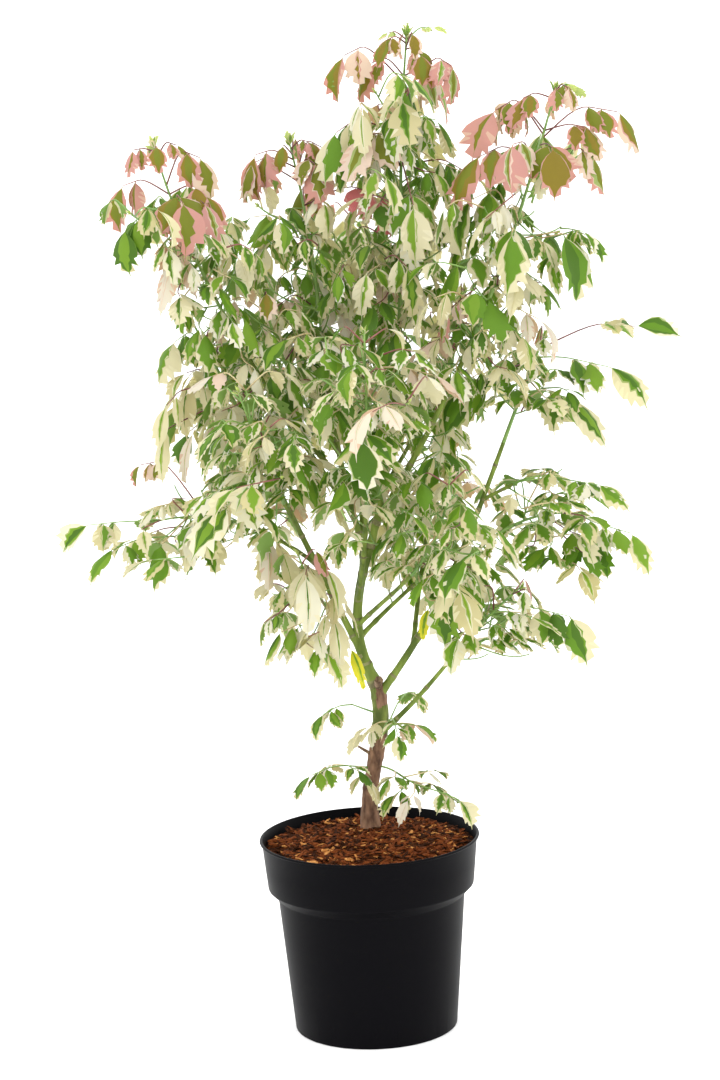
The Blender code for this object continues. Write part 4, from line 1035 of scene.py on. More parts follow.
class LeafMesher:
    """Gathers the blades of one mass of foliage into one mesh."""

    def __init__(self) -> None:
        """Starts with nothing gathered."""
        self.points = []
        self.tints = []

    def add(self, leaflet: tuple, kind: Kind, look: Look, chance: np.random.Generator) -> None:
        """Adds one leaflet: its folded, drooping and toothed blade, with its green and its margin.

        Args:
            leaflet: its root, the ways it points and faces, its length and its width.
            kind: how it is coloured.
            look: how it came to be there.
            chance: the source of its small differences.
        """
        root, ahead, face, length, width = leaflet
        palette = PALETTES[kind]
        young = kind in YOUNG_KINDS
        width *= chance.uniform(*SLENDERNESS[look])
        if young:
            width *= YOUNG_BREADTH
        elif kind in PALE_KINDS:
            width *= PALE_BREADTH[look]
        outline = YOUNG_WIDTH if young else ROW_WIDTH
        side = ahead.cross(face).normalized()
        root, ahead, face, side = (np.array(part) for part in (root, ahead, face, side))
        inner, outer = self.green_edges(palette, chance)
        halves = []
        for _ in range(2):
            strength = chance.uniform(*TOOTH_STRENGTH[kind in PALE_KINDS])
            jitter = chance.uniform(-0.035, 0.035, ROWS) * (outline > 0.3)
            halves.append(width / 2 * np.maximum(outline + ROW_TOOTH * strength + jitter, 0.01))
        across = np.zeros((ROWS, COLUMNS))
        for hand, (green, pale) in enumerate(zip(inner, outer)):
            columns = (3, 2, 1, 0) if hand == 0 else (5, 6, 7, 8)
            sign = -1 if hand == 0 else 1
            for column, place in zip(columns, (green * 0.5, green, pale, np.ones(ROWS))):
                across[:, column] = sign * place
        half = np.where(np.arange(COLUMNS)[None] < MIDDLE, halves[0][:, None], halves[1][:, None])
        bend = Bend(chance, length)
        top = bend.sheet(root, ahead, face, side, across, half)
        below = across[1:-1][:, (1, MIDDLE, 7)] * 0.9
        under = bend.sheet(root, ahead, face, side, below, half[1:-1][:, (1, MIDDLE, 7)], slice(1, -1))
        under -= face * BLADE_THICKNESS
        self.points.append(np.concatenate([top.reshape(-1, 3), under.reshape(-1, 3)]))
        self.tints.append(self.deal_tints(inner, palette, chance))

    def green_edges(self, palette: Palette, chance: np.random.Generator) -> tuple[list, list]:
        """Gives how far out the green and the zone beside it reach, by side and row."""
        share = chance.uniform(*palette.green)
        inner = []
        outer = []
        for _ in range(2):
            lean = chance.choice(HALF_GREENS, p=HALF_SHARES)
            lobe = ROW_LOBE * chance.uniform(0.10, 0.24) + chance.uniform(-0.07, 0.07, ROWS)
            edge = np.clip(share * lean * GREEN_SHAPE + lobe * min(1, share * 2), 0.03, 0.94)
            zone = np.clip(edge + chance.uniform(0.02, 0.14, ROWS), 0.06, 0.97)
            inner.append(edge)
            outer.append(zone)
        return inner, outer

    def deal_tints(self, inner: list, palette: Palette, chance: np.random.Generator) -> np.ndarray:
        """Deals each face of a blade its tint: a jagged green middle in a paler margin."""
        picks = [choices[chance.integers(len(choices))].value for choices in (
            palette.inner, palette.outer, palette.between, palette.margin
        )]
        middle, green, zone, margin = picks
        cells = np.empty((BANDS, COLUMNS - 1), int)
        backs = np.empty((BANDS, 4), int)
        for hand, edge in enumerate(inner):
            reach = (edge[1:] + edge[:-1]) / 2
            columns = (3, 2, 1, 0) if hand == 0 else (4, 5, 6, 7)
            for column, tint in zip(columns, (middle, green, zone, margin)):
                cells[:, column] = tint
            cells[reach < 0.09, columns[0]] = margin
            cells[reach < 0.13, columns[1]] = margin
            cells[reach > 0.90, columns[3]] = green
            near, far = ((1, 0), (2, 3))[hand]
            backs[:, near] = np.where(reach > 0.2, palette.back[0].value, palette.back[1].value)
            backs[:, far] = np.where(reach > 0.8, palette.back[0].value, palette.back[1].value)
        cells[chance.random(cells.shape) < palette.splash] = margin
        return np.concatenate([cells.reshape(-1), backs.reshape(-1)])

    def build(self, name: str, slots: list) -> bpy.types.Object:
        """Makes the piece, with a crisp edge where the top and the underside of a blade meet."""
        count = len(self.points)
        corners = (BLADE_CORNERS[None] + np.arange(count)[:, None] * BLADE_POINTS).ravel()
        sizes = np.tile(BLADE_SIZES, count)
        mesh = bpy.data.meshes.new(name)
        mesh.vertices.add(count * BLADE_POINTS)
        mesh.vertices.foreach_set("co", np.concatenate(self.points).ravel())
        mesh.loops.add(len(corners))
        mesh.loops.foreach_set("vertex_index", corners)
        mesh.polygons.add(len(sizes))
        mesh.polygons.foreach_set("loop_start", np.cumsum(sizes) - sizes)
        for slot in slots:
            mesh.materials.append(slot)
        mesh.polygons.foreach_set("material_index", np.concatenate(self.tints))
        mesh.update(calc_edges=True)
        mesh.shade_smooth()
        mesh.set_sharp_from_angle(angle=math.radians(75))
        item = bpy.data.objects.new(name, mesh)
        bpy.context.scene.collection.objects.link(item)
        return item


class Bend:
    """How one blade bows, folds, twists and waves."""

    def __init__(self, chance: np.random.Generator, length: float) -> None:
        """Draws the blade's bend by chance."""
        self.length = length
        self.bow = chance.uniform(0.05, 0.17)
        self.nod = chance.uniform(-0.06, 0.16)
        self.sway = chance.uniform(-0.10, 0.10)
        self.twist = chance.uniform(-0.7, 0.7)
        self.fold = chance.uniform(-0.72, 0.45)
        self.wave = chance.uniform(0.04, 0.15)
        self.waves = chance.uniform(1.2, 2.6)
        self.phases = chance.uniform(0, 1, 2)

    def sheet(
        self,
        root: np.ndarray,
        ahead: np.ndarray,
        face: np.ndarray,
        side: np.ndarray,
        across: np.ndarray,
        half: np.ndarray,
        rows: slice = slice(None),
    ) -> np.ndarray:
        """Gives the blade's points.

        Args:
            root: where the blade springs.
            ahead: the way it points.
            face: the way its top faces.
            side: the way its right half goes.
            across: how far out each point lies, from -1 to 1.
            half: the blade's half width at each point.
            rows: the rows that the points lie on.

        Returns:
            The points, as rows of columns.
        """
        share = ROW_U[rows][:, None]
        out = np.abs(across)
        slant = VEIN_SLANT * out**1.2 * np.sin(np.pi * share) * half / np.maximum(half.max(), 1e-6)
        along = (share + slant + ROW_LEAN[rows][:, None] * out**3) * self.length
        bow = self.bow * np.sin(np.pi * share**0.85) - self.nod * share**2
        phase = self.phases[(across > 0).astype(int)]
        lift = (self.fold * out**1.25 + self.wave * np.sin(2 * np.pi * (share * self.waves + phase)) * out**2) * half
        lift += BLADE_THICKNESS / 2 * (1 - out**2)
        turn = self.twist * share
        wide = across * half
        sideways = self.sway * share**2 * self.length + wide * np.cos(turn) - lift * np.sin(turn)
        upwards = bow * self.length + wide * np.sin(turn) + lift * np.cos(turn)
        return root + along[..., None] * ahead + sideways[..., None] * side + upwards[..., None] * face


TOPS = ("centre", "right_high", "left_centre", "left_high")
MIX = (Kind.VARIEGATED, Kind.GREEN, Kind.CREAM, Kind.BLUSH, Kind.PINK)
TOP_MIX = (0.64, 0.18, 0.13, 0.04, 0.01)
COMMON_MIX = (0.65, 0.12, 0.20, 0.03, 0.0)
SIDE_MIXES = {
    "centre": (0.62, 0.26, 0.04, 0.05, 0.03),
    "right": (0.74, 0.17, 0.09, 0.0, 0.0),
    "left": (0.56, 0.08, 0.30, 0.06, 0.0),
    "low": (0.46, 0.06, 0.38, 0.10, 0.0),
    "low_left": (0.66, 0.16, 0.18, 0.0, 0.0),
}
COMMON_TRIM = 0.88
FACE_TURN = 0.9
LEVEL_HANG = 0.8
FINE_SPACING = (0.0040, 0.0068)
FINE_LENGTH = (0.026, 0.072)
FINE_SIZE = (0.032, 0.052)
FINE_START = 0.040
TOP_FINE_START = 0.095
SEEN_STEP = 0.006
BUD_LEAFLETS = 6


@dataclass(frozen=True)
class Rules:
    """What a leaf keeps to besides the reach of the solids and the limbs."""

    margin: float
    sky: bool = True
    crossing: bool = True
    crowding: int = 99


SOLID_RULES = Rules(SPACE_MARGIN)
FINE_RULES = Rules(-0.010, crossing=False)
EXTRA_RULES = Rules(-0.045, sky=False, crossing=False, crowding=8)


@dataclass
class Twig:
    """A stem or a leaf stalk to be drawn: its path, its radius at both ends and its slot."""

    path: list
    thick: float
    thin: float
    slot: int = 0
    nodes: list = field(default_factory=list)


class SeenStems:
    """The stretches of the stems that are in plain view in the photo."""

    def __init__(self, limbs: dict[str, Limb], space: Space) -> None:
        """Samples the stretches, each point with the way from it to the viewer."""
        eye = Vector((0, -EYE_DISTANCE, EYE_HEIGHT))
        self.rays = []
        for name, first, last in SEEN_STRETCHES:
            limb = limbs[name]
            for step in range(round((last - first) / SEEN_STEP)):
                distance = limb.curve.length - first - SEEN_STEP * step
                point, _ = limb.curve.at(distance)
                way = (eye - point).normalized()
                self.rays.append((point + way * limb.radius(distance), way))
        self.flat = np.array(space.seen_from_front([point for point, _ in self.rays]))
        self.space = space

    def hidden_by(self, points: list, tree: BVHTree) -> bool:
        """Says whether a solid hides any of the stretches from the viewer."""
        spots = self.space.seen_from_front(points)
        near = ((self.flat > spots.min(axis=0)) & (self.flat < spots.max(axis=0))).all(axis=1)
        return any(tree.ray_cast(*self.rays[place])[0] is not None for place in np.flatnonzero(near))


@dataclass
class Mass:
    """One mass of foliage, grown from its stem outwards by the source's rule."""

    limb: Limb
    space: Space
    seen: SeenStems
    barriers: list
    trees: list
    leaves: list = field(default_factory=list)
    buds: list = field(default_factory=list)
    twigs: list = field(default_factory=list)

    def keep(self, leaf: Leaf, kind: Kind, look: Look, rules: Rules, attempt: int) -> bool:
        """Keeps a leaf if it fits.

        Args:
            leaf: the leaf.
            kind: how it is coloured.
            look: how it came to be there.
            rules: what it keeps to.
            attempt: how many ways have been tried, after some of which it may touch other leaves.

        Returns:
            Whether it was kept.
        """
        points, faces = leaf.solid()
        if not self.space.holds(self.limb.name, points, rules.margin):
            return False
        if rules.sky and self.space.shows_sky(points, SKY):
            return False
        if look == Look.FINE and self.space.shows_sky(points, CLEARINGS):
            return False
        if not self.space.reaches(points):
            return False
        tree = tree_of(points, faces)
        if rules.crossing and crosses_itself(faces, tree):
            return False
        if self.touches(tree, attempt < rules.crowding):
            return False
        if look == Look.FINE and self.seen.hidden_by(points, tree):
            return False
        if look == Look.COMMON and kind in YOUNG_KINDS:
            look = Look.PLACED
        self.leaves.append((leaf, kind, look))
        self.trees.append(tree)
        return True

    def touches(self, tree: BVHTree, leaves: bool = True) -> bool:
        """Says whether a solid touches a limb, the pot or the soil, or a leaf if those count."""
        if any(tree.overlap(barrier) for barrier in self.barriers):
            return True
        return leaves and any(tree.overlap(other) for other in self.trees)

    def add_leaf(
        self,
        label: str,
        root: Vector,
        along: Vector,
        outward: Vector,
        size: float,
        pairs: int,
        kind: Kind,
        fine: bool = False,
    ) -> bool:
        """Adds a leaf, tried a few ways until one fits, or skips it.

        Args:
            label: names the leaf to the source of chance.
            root: where it springs.
            along: the way its stem points.
            outward: the side of the stem that it springs from.
            size: the length of its leaflets, about.
            pairs: how many pairs of leaflets it has.
            kind: how it is coloured.
            fine: whether it is one of the smaller leaves that the solids leave out.

        Returns:
            Whether it was added.
        """
        for attempt in range(FINE_TRIES if fine else TRIES):
            rng = random.Random(f"{self.limb.name} {label} {attempt}")
            swing = math.radians(rng.uniform(-14, 14) * (1 + attempt * 0.25))
            way = Quaternion(along, swing) @ outward
            rise = math.radians(rng.uniform(36, 60))
            start = (along * math.cos(rise) + way * math.sin(rise)).normalized()
            level = Vector((way.x, way.y, 0)).normalized()
            shrink = 1 - 0.018 * attempt
            stalk = size * rng.uniform(0.85, 1.25) * shrink
            root_spot = root + way * STALK_ROOT_OFFSET
            hang = self.limb.hang
            if fine:
                stalk *= rng.uniform(0.6, 1.0)
                hang *= rng.uniform(0.55, 1.10)
            leaf = Leaf(rng, root_spot, start, level, stalk, size * shrink, hang, pairs)
            look, rules = (Look.FINE, FINE_RULES) if fine else (Look.COMMON, SOLID_RULES)
            if self.keep(leaf, kind, look, rules, attempt):
                return True
        return False

    def add_placed_leaves(self, rows: tuple, rules: Rules) -> None:
        """Adds the leaves that are placed one by one."""
        for name, below, bearing, stalk, size, rise, hang, pairs, kind in rows:
            if name != self.limb.name:
                continue
            point, _ = self.limb.curve.at(self.limb.curve.length - below)
            for attempt in range(TRIES):
                rng = random.Random(f"{name} {below} {bearing} {attempt}")
                turn = math.radians(bearing + rng.uniform(-6, 6) * attempt)
                level = Vector((math.cos(turn), math.sin(turn), 0))
                lift = math.radians(rise + rng.uniform(-4, 4) * attempt)
                start = level * math.cos(lift) + UP * math.sin(lift)
                leaf = Leaf(rng, point + level * STALK_ROOT_OFFSET, start, level, stalk, size, hang, pairs)
                if self.keep(leaf, kind, Look.LEVEL if hang < LEVEL_HANG else Look.PLACED, rules, attempt):
                    break

    def kind_at(self, label: str, node: int) -> Kind:
        """Chooses how a leaf is coloured, from its shoot and how many nodes it lies below the tip."""
        rng = random.Random(f"{self.limb.name} {label} kind")
        if self.limb.name in TOPS:
            if node < 2:
                return rng.choices((Kind.YOUNG, Kind.PINK), (0.8, 0.2))[0]
            if node == 2 and self.limb.name != "centre" and rng.random() < 0.75:
                return rng.choice((Kind.YOUNG, Kind.YOUNG, Kind.PINK))
            return rng.choices(MIX, SIDE_MIXES.get(self.limb.name, TOP_MIX))[0]
        if node == 0 and rng.random() < 0.25:
            return Kind.YOUNG
        side = SIDE_MIXES.get(self.limb.name.split("_")[0], COMMON_MIX)
        return rng.choices(MIX, SIDE_MIXES.get(self.limb.name, side))[0]

    def add_pairs(self, curve: Curve, start: float, turn: float) -> list[tuple]:
        """Adds opposite pairs of leaves down the stem from its tip, each square to the last."""
        distance = curve.length - FIRST_NODE
        internode = FIRST_INTERNODE
        node = 0
        places = []
        while distance > start + 0.006:
            point, along = curve.at(distance)
            across, above = square_to(along)
            grown = min(FULL_LEAFLET, YOUNG_LEAFLET + LEAFLET_GROWTH * node)
            for hand in (0, 1):
                way = turn + math.pi * hand + math.pi / 2 * node
                outward = across * math.cos(way) + above * math.sin(way)
                leaflets = 0 if node == 0 else 1 + (grown >= FULL_LEAFLET and hand)
                label = f"stem {node} {hand}"
                self.add_leaf(label, point, along, outward, grown, leaflets, self.kind_at(label, node))
            places.append((distance, way + math.pi / 4))
            node += 1
            distance -= internode
            internode = min(internode * INTERNODE_GROWTH, LONGEST_INTERNODE)
        return places

    def grow(self) -> "Mass":
        """Grows the stem, the leaves along it, then short side twigs with leaves of their own."""
        limb = self.limb
        rng = random.Random(limb.name)
        if limb.bare == 0:
            self.grow_trunk_twig()
            return self
        self.add_placed_leaves(REACHING_LEAVES, SOLID_RULES)
        places = self.add_pairs(limb.curve, limb.bare + GAP, rng.uniform(-0.2, 0.2))
        for count, (distance, way) in enumerate(places[2::2]):
            point, along = limb.curve.at(distance - 0.012)
            across, above = square_to(along)
            for hand in (0, 1):
                turn = way + math.pi * hand
                outward = across * math.cos(turn) + above * math.sin(turn)
                self.add_side_twig(f"side {count} {hand}", rng, point, along, outward)
        steps = max(8, round(limb.leafy / 0.006))
        start = limb.bare - 0.003
        path = [limb.curve.at(start + (limb.curve.length - start) * step / steps)[0] for step in range(steps + 1)]
        nodes = [(distance - start) / (limb.curve.length - start) for distance, _ in places]
        self.twigs.append(Twig(path, limb.radius(start), limb.radii[1] * 0.75, 0, nodes))
        self.add_bud(*limb.curve.at(limb.curve.length), 0.019 if limb.name in TOPS else 0.012)
        return self

    def grow_trunk_twig(self) -> None:
        """Grows one of the small leaves that spring from the trunk, and its twig."""
        curve = self.limb.curve
        point, along = curve.at(curve.length - 0.002)
        level = Vector((along.x, along.y, 0)).normalized()
        self.add_leaf("end", point, along, level, TRUNK_LEAFLET, 2, Kind.VARIEGATED)
        across, _ = square_to(along)
        for back, size in ((0.006, 0.030), (0.022, 0.034), (0.036, 0.032)):
            spot, ahead = curve.at(max(curve.length - back, 0.012))
            for hand in (1, -1):
                label = f"small {back} {hand}"
                self.add_leaf(label, spot, ahead, across * hand, size, 1, self.kind_at(label, 3), True)
        path = [curve.at(curve.length * share / 8)[0] for share in range(9)]
        self.twigs.append(Twig(path, 0.0013, 0.0008))

    def add_side_twig(
        self, label: str, rng: random.Random, point: Vector, along: Vector, outward: Vector
    ) -> None:
        """Adds a short side twig with a pair of leaves near its tip, where it fits."""
        length = SIDE_TWIG_LENGTH * rng.uniform(0.7, 1.2)
        heading = (along * 0.6 + outward).normalized()
        curve = Curve(point, point + heading * length, outward + along * 0.5, heading + UP * 0.4)
        places = [curve.at(length * share)[0] for share in (0, 0.5, 1)]
        middle_radius = sum(SIDE_TWIG_RADII) / 2
        twig = tube(places, (SIDE_TWIG_RADII[0], middle_radius, SIDE_TWIG_RADII[1]), TWIG_SIDES)
        held = self.space.holds(self.limb.name, twig[0], SPACE_MARGIN)
        if not held or self.space.shows_sky(twig[0], SKY) or self.touches(tree_of(*twig)):
            return
        tip, ahead = curve.at(curve.length - 0.004)
        across, above = square_to(ahead)
        grown = 0
        for place, way in enumerate((across, -across)):
            name = f"{label} {place}"
            grown += self.add_leaf(name, tip, ahead, way, FULL_LEAFLET * 0.8, 1, self.kind_at(name, 3))
        if grown:
            self.draw_twig(curve, 0.0013, 0.0009)
            self.add_bud(*curve.at(curve.length), 0.010, 3)

    def draw_twig(self, curve: Curve, thick: float, thin: float) -> None:
        """Puts down a twig along a curve to be drawn."""
        path = [curve.at(curve.length * share / 8)[0] for share in range(9)]
        self.twigs.append(Twig(path, thick, thin))

    def add_bud(self, tip: Vector, ahead: Vector, length: float, leaflets: int = BUD_LEAFLETS) -> None:
        """Adds a tuft of tiny unfolding leaflets at a shoot's tip."""
        rng = random.Random(f"{tip.x:.4f} {tip.y:.4f} {tip.z:.4f}")
        across, above = square_to(ahead)
        for count in range(leaflets):
            turn = GOLDEN_TURN * count
            spread = math.radians(rng.uniform(14, 24) + 7 * count)
            outward = across * math.cos(turn) + above * math.sin(turn)
            way = (ahead * math.cos(spread) + outward * math.sin(spread)).normalized()
            face = (ahead * math.sin(spread) - outward * math.cos(spread)).normalized()
            size = length * rng.uniform(0.6, 1.1)
            self.buds.append((tip - ahead * 0.0005 * count, way, face, size, size * 0.42))

    def carry_on(self) -> None:
        """Carries the mass on to finer side twigs, each with a pair or two of smaller leaves."""
        limb = self.limb
        if limb.bare == 0:
            return
        rng = random.Random(limb.name + " fine")
        distance = limb.curve.length - (TOP_FINE_START if limb.name in TOPS else FINE_START)
        turn = rng.uniform(0, 2 * math.pi)
        count = 0
        while distance > max(limb.bare - 0.035, 0.03):
            point, along = limb.curve.at(distance)
            across, above = square_to(along)
            turn += GOLDEN_TURN
            outward = across * math.cos(turn) + above * math.sin(turn)
            depth = min(1.0, (limb.curve.length - distance) / limb.leafy)
            length = rng.uniform(*FINE_LENGTH) * (0.55 + 0.45 * depth)
            heading = (along * 0.55 + outward).normalized()
            curve = Curve(point, point + heading * length, outward + along * 0.4, heading + UP * 0.5)
            distance -= rng.uniform(*FINE_SPACING)
            count += 1
            self.add_fine_twig(f"fine {count}", rng, curve, depth)

    def add_fine_twig(self, label: str, rng: random.Random, curve: Curve, depth: float) -> None:
        """Adds one fine twig with leaves at its middle and its tip, where it fits."""
        path = [curve.at(curve.length * share / 6)[0] for share in range(1, 7)]
        if not self.space.holds(self.limb.name, path, FINE_RULES.margin) or self.space.shows_sky(path, SKY):
            return
        twig = tube(path, [0.0008] * 6, 3)
        if any(tree_of(*twig).overlap(barrier) for barrier in self.barriers):
            return
        grown = 0
        for share in (0.5, 1.0):
            tip, ahead = curve.at(curve.length * share - 0.002)
            across, above = square_to(ahead)
            spin = rng.uniform(-0.5, 0.5) + (share < 1) * math.pi / 2
            for hand in (1, -1):
                way = (across * math.cos(spin) + above * math.sin(spin)) * hand
                size = rng.uniform(*FINE_SIZE) * (0.70 + 0.30 * min(1, depth * 2))
                pairs = 1 + (rng.random() < 0.25)
                name = f"{label} {share} {hand}"
                kind = self.kind_at(name, 2 + round(3 * depth))
                grown += self.add_leaf(name, tip, ahead, way, size, pairs, kind, True)
        if grown:
            self.draw_twig(curve, 0.0010, 0.0007)

    def build(self, leaf_slots: list, stalk_slots: list) -> int:
        """Makes the mass's two pieces, its leaves and its twigs with the leaf stalks.

        Args:
            leaf_slots: the leaves' materials, by tint.
            stalk_slots: the materials of green, red and tan stalks.

        Returns:
            How many leaflets the mass has.
        """
        name = self.limb.name
        node = name if self.limb.bare == 0 else "foliage_" + name
        mesher = LeafMesher()
        for count, (leaf, kind, look) in enumerate(self.leaves):
            chance = np.random.default_rng(sum(name.encode()) * 1000 + count)
            for leaflet in leaf.leaflets():
                mesher.add(dressed(leaflet, look), kind, look, chance)
            self.twigs.append(Twig(smooth_path(leaf.places), 0.0010, 0.0005, self.stalk_slot(kind, chance)))
        chance = np.random.default_rng(sum(name.encode()))
        for leaflet in self.buds:
            mesher.add(leaflet, Kind.BUD, Look.FINE, chance)
        points = []
        faces = []
        slots = []
        for twig in self.twigs:
            add_tube(points, faces, slots, twig)
        twigs = new_object("twigs_" + name, points, faces, stalk_slots, slots)
        keep_piece(twigs, "green_bark", node)
        keep_piece(mesher.build("leaves_" + name, leaf_slots), "foliage", node)
        return len(mesher.points)

    def stalk_slot(self, kind: Kind, chance: np.random.Generator) -> int:
        """Chooses a leaf stalk's slot: green, red or tan."""
        if kind in (Kind.YOUNG, Kind.PINK, Kind.ROSE):
            return 1
        if kind in (Kind.CREAM, Kind.BLUSH):
            return 2 if chance.random() < 0.6 else 1
        return int(chance.choice((0, 1, 2), p=(0.60, 0.15, 0.25)))


def dressed(leaflet: tuple, look: Look) -> tuple:
    """Gives a leaflet as it is seen: a common one trimmed, and a level one turned to the viewer."""
    root, ahead, face, length, width = leaflet
    if look == Look.COMMON:
        length *= COMMON_TRIM
    if look in (Look.LEVEL, Look.PLACED):
        face = face + Vector((0, -FACE_TURN, 0))
        face = (face - ahead * face.dot(ahead)).normalized()
    return root, ahead, face, length, width


def smooth_path(places: list) -> list[Vector]:
    """Gives a leaf stalk's path with its bend rounded off."""
    root, bend, *rest = places
    end = rest[-1]
    middle = root.lerp(bend, 0.45)
    after = bend.lerp(end, 0.30)
    corner = [bezier((middle, middle.lerp(bend, 0.7), after.lerp(bend, 0.7), after), step / 4) for step in range(5)]
    return [root, *corner, after.lerp(end, 0.5), end]


def add_tube(points: list, faces: list, slots: list, twig: Twig) -> None:
    """Adds a twig's tube, swollen at its nodes, to a mesh that is being gathered."""
    steps = len(twig.path) - 1
    radii = []
    for step in range(steps + 1):
        radius = twig.thick + (twig.thin - twig.thick) * step / steps
        swell = sum(math.exp(-(((step / steps - node) * steps / 0.6) ** 2)) for node in twig.nodes)
        radii.append(radius * (1 + 0.22 * min(swell, 1)))
    spots, sides = tube(twig.path, radii, 8 if twig.nodes else 5)
    base = len(points)
    points += [tuple(spot) for spot in spots]
    faces += [[corner + base for corner in face] for face in sides]
    slots += [twig.slot] * len(sides)


@dataclass
class Woodwork:
    """The trunk and the boughs with their bark."""

    limbs: dict
    trunk_sides: int = 48
    trunk_step: float = 0.0018
    bough_sides: int = 16
    bough_step: float = 0.003
    node_spacing: float = 0.052
    node_swell: float = 0.20
    node_width: float = 0.0032
    green_from: float = 0.318
    brown_collar: float = 0.350

    def build_trunk(self) -> None:
        """Makes the trunk with its root flare, ridged bark and old leaf scars."""
        limb = self.limbs["trunk"]
        rings = round(limb.curve.length / self.trunk_step)
        places = [limb.curve.length * ring / rings for ring in range(rings + 1)]
        path = [limb.curve.at(place)[0] for place in places]
        path[0].z = TRUNK_FOOT.z
        radii = []
        for place in places:
            scars = sum(math.exp(-(((place - scar) / 0.0025) ** 2)) for scar in (0.045, 0.082, 0.118, 0.150))
            radii.append(limb.radius(place) * (1 + 0.07 * scars))

        def bark(spot: Vector, turn: float) -> float:
            """Gives how far the bark stands out."""
            ridge = noise.fractal(Vector((spot.x * 420, spot.y * 420, spot.z * 80)), 1.0, 2.0, 4)
            knot = noise.noise(Vector((math.cos(turn) * 1.3, math.sin(turn) * 1.3, spot.z * 38)))
            return 0.055 * ridge + 0.08 * knot

        points, faces = tube(path, radii, self.trunk_sides, bark)
        indices = [int(self.is_green(sum((Vector(points[corner]) for corner in face), Vector()) / len(face)))
                   for face in faces]
        trunk = new_object("bark_trunk", points, faces, [TRUNK_BARK.build(), GREEN_TRUNK_BARK.build()], indices)
        keep_piece(trunk, "brown_bark", "trunk")

    def is_green(self, spot: Vector) -> bool:
        """Says whether the trunk's bark is green at a spot: high up, but not beside the pruned stub."""
        height = spot.z + 0.016 * noise.noise(spot * 90)
        return height > self.green_from and not (height > self.brown_collar and spot.x > TRUNK_FORK.x - 0.001)

    def build_boughs(self) -> None:
        """Makes each bough as one limb that runs smoothly out of the one that carries it."""
        slots = [GREEN_BARK.build(), NODE_BARK.build()]
        for limb in self.limbs.values():
            if limb.parent is None or limb.bare == 0:
                continue
            rings = max(4, round(limb.bare / self.bough_step))
            places = [limb.bare * ring / rings for ring in range(rings + 1)]
            path = [limb.curve.at(place)[0] for place in places]
            radii = []
            browns = []
            for place in places:
                collar = math.exp(-((place / (limb.radii[0] * 3.0)) ** 2))
                apart = (place % self.node_spacing) - self.node_spacing / 2
                swell = math.exp(-((apart / self.node_width) ** 2))
                radii.append(limb.radius(place) * (1 + 0.40 * collar) * (1 + self.node_swell * swell))
                browns.append(abs(apart) < 0.0014 or place < limb.radii[0] * 1.3)
            name = limb.name

            def skin(spot: Vector, turn: float) -> float:
                """Gives how far the skin of a bough stands out."""
                return 0.035 * noise.noise(Vector((math.cos(turn), math.sin(turn), spot.z * 60)))

            points, faces = tube(path, radii, self.bough_sides, skin)
            indices = [0, 0]
            for ring in range(rings):
                indices += [int(browns[ring])] * self.bough_sides
            bough = new_object("limb_" + name, points, faces, slots, indices)
            keep_piece(bough, "green_bark", "bough_" + name)


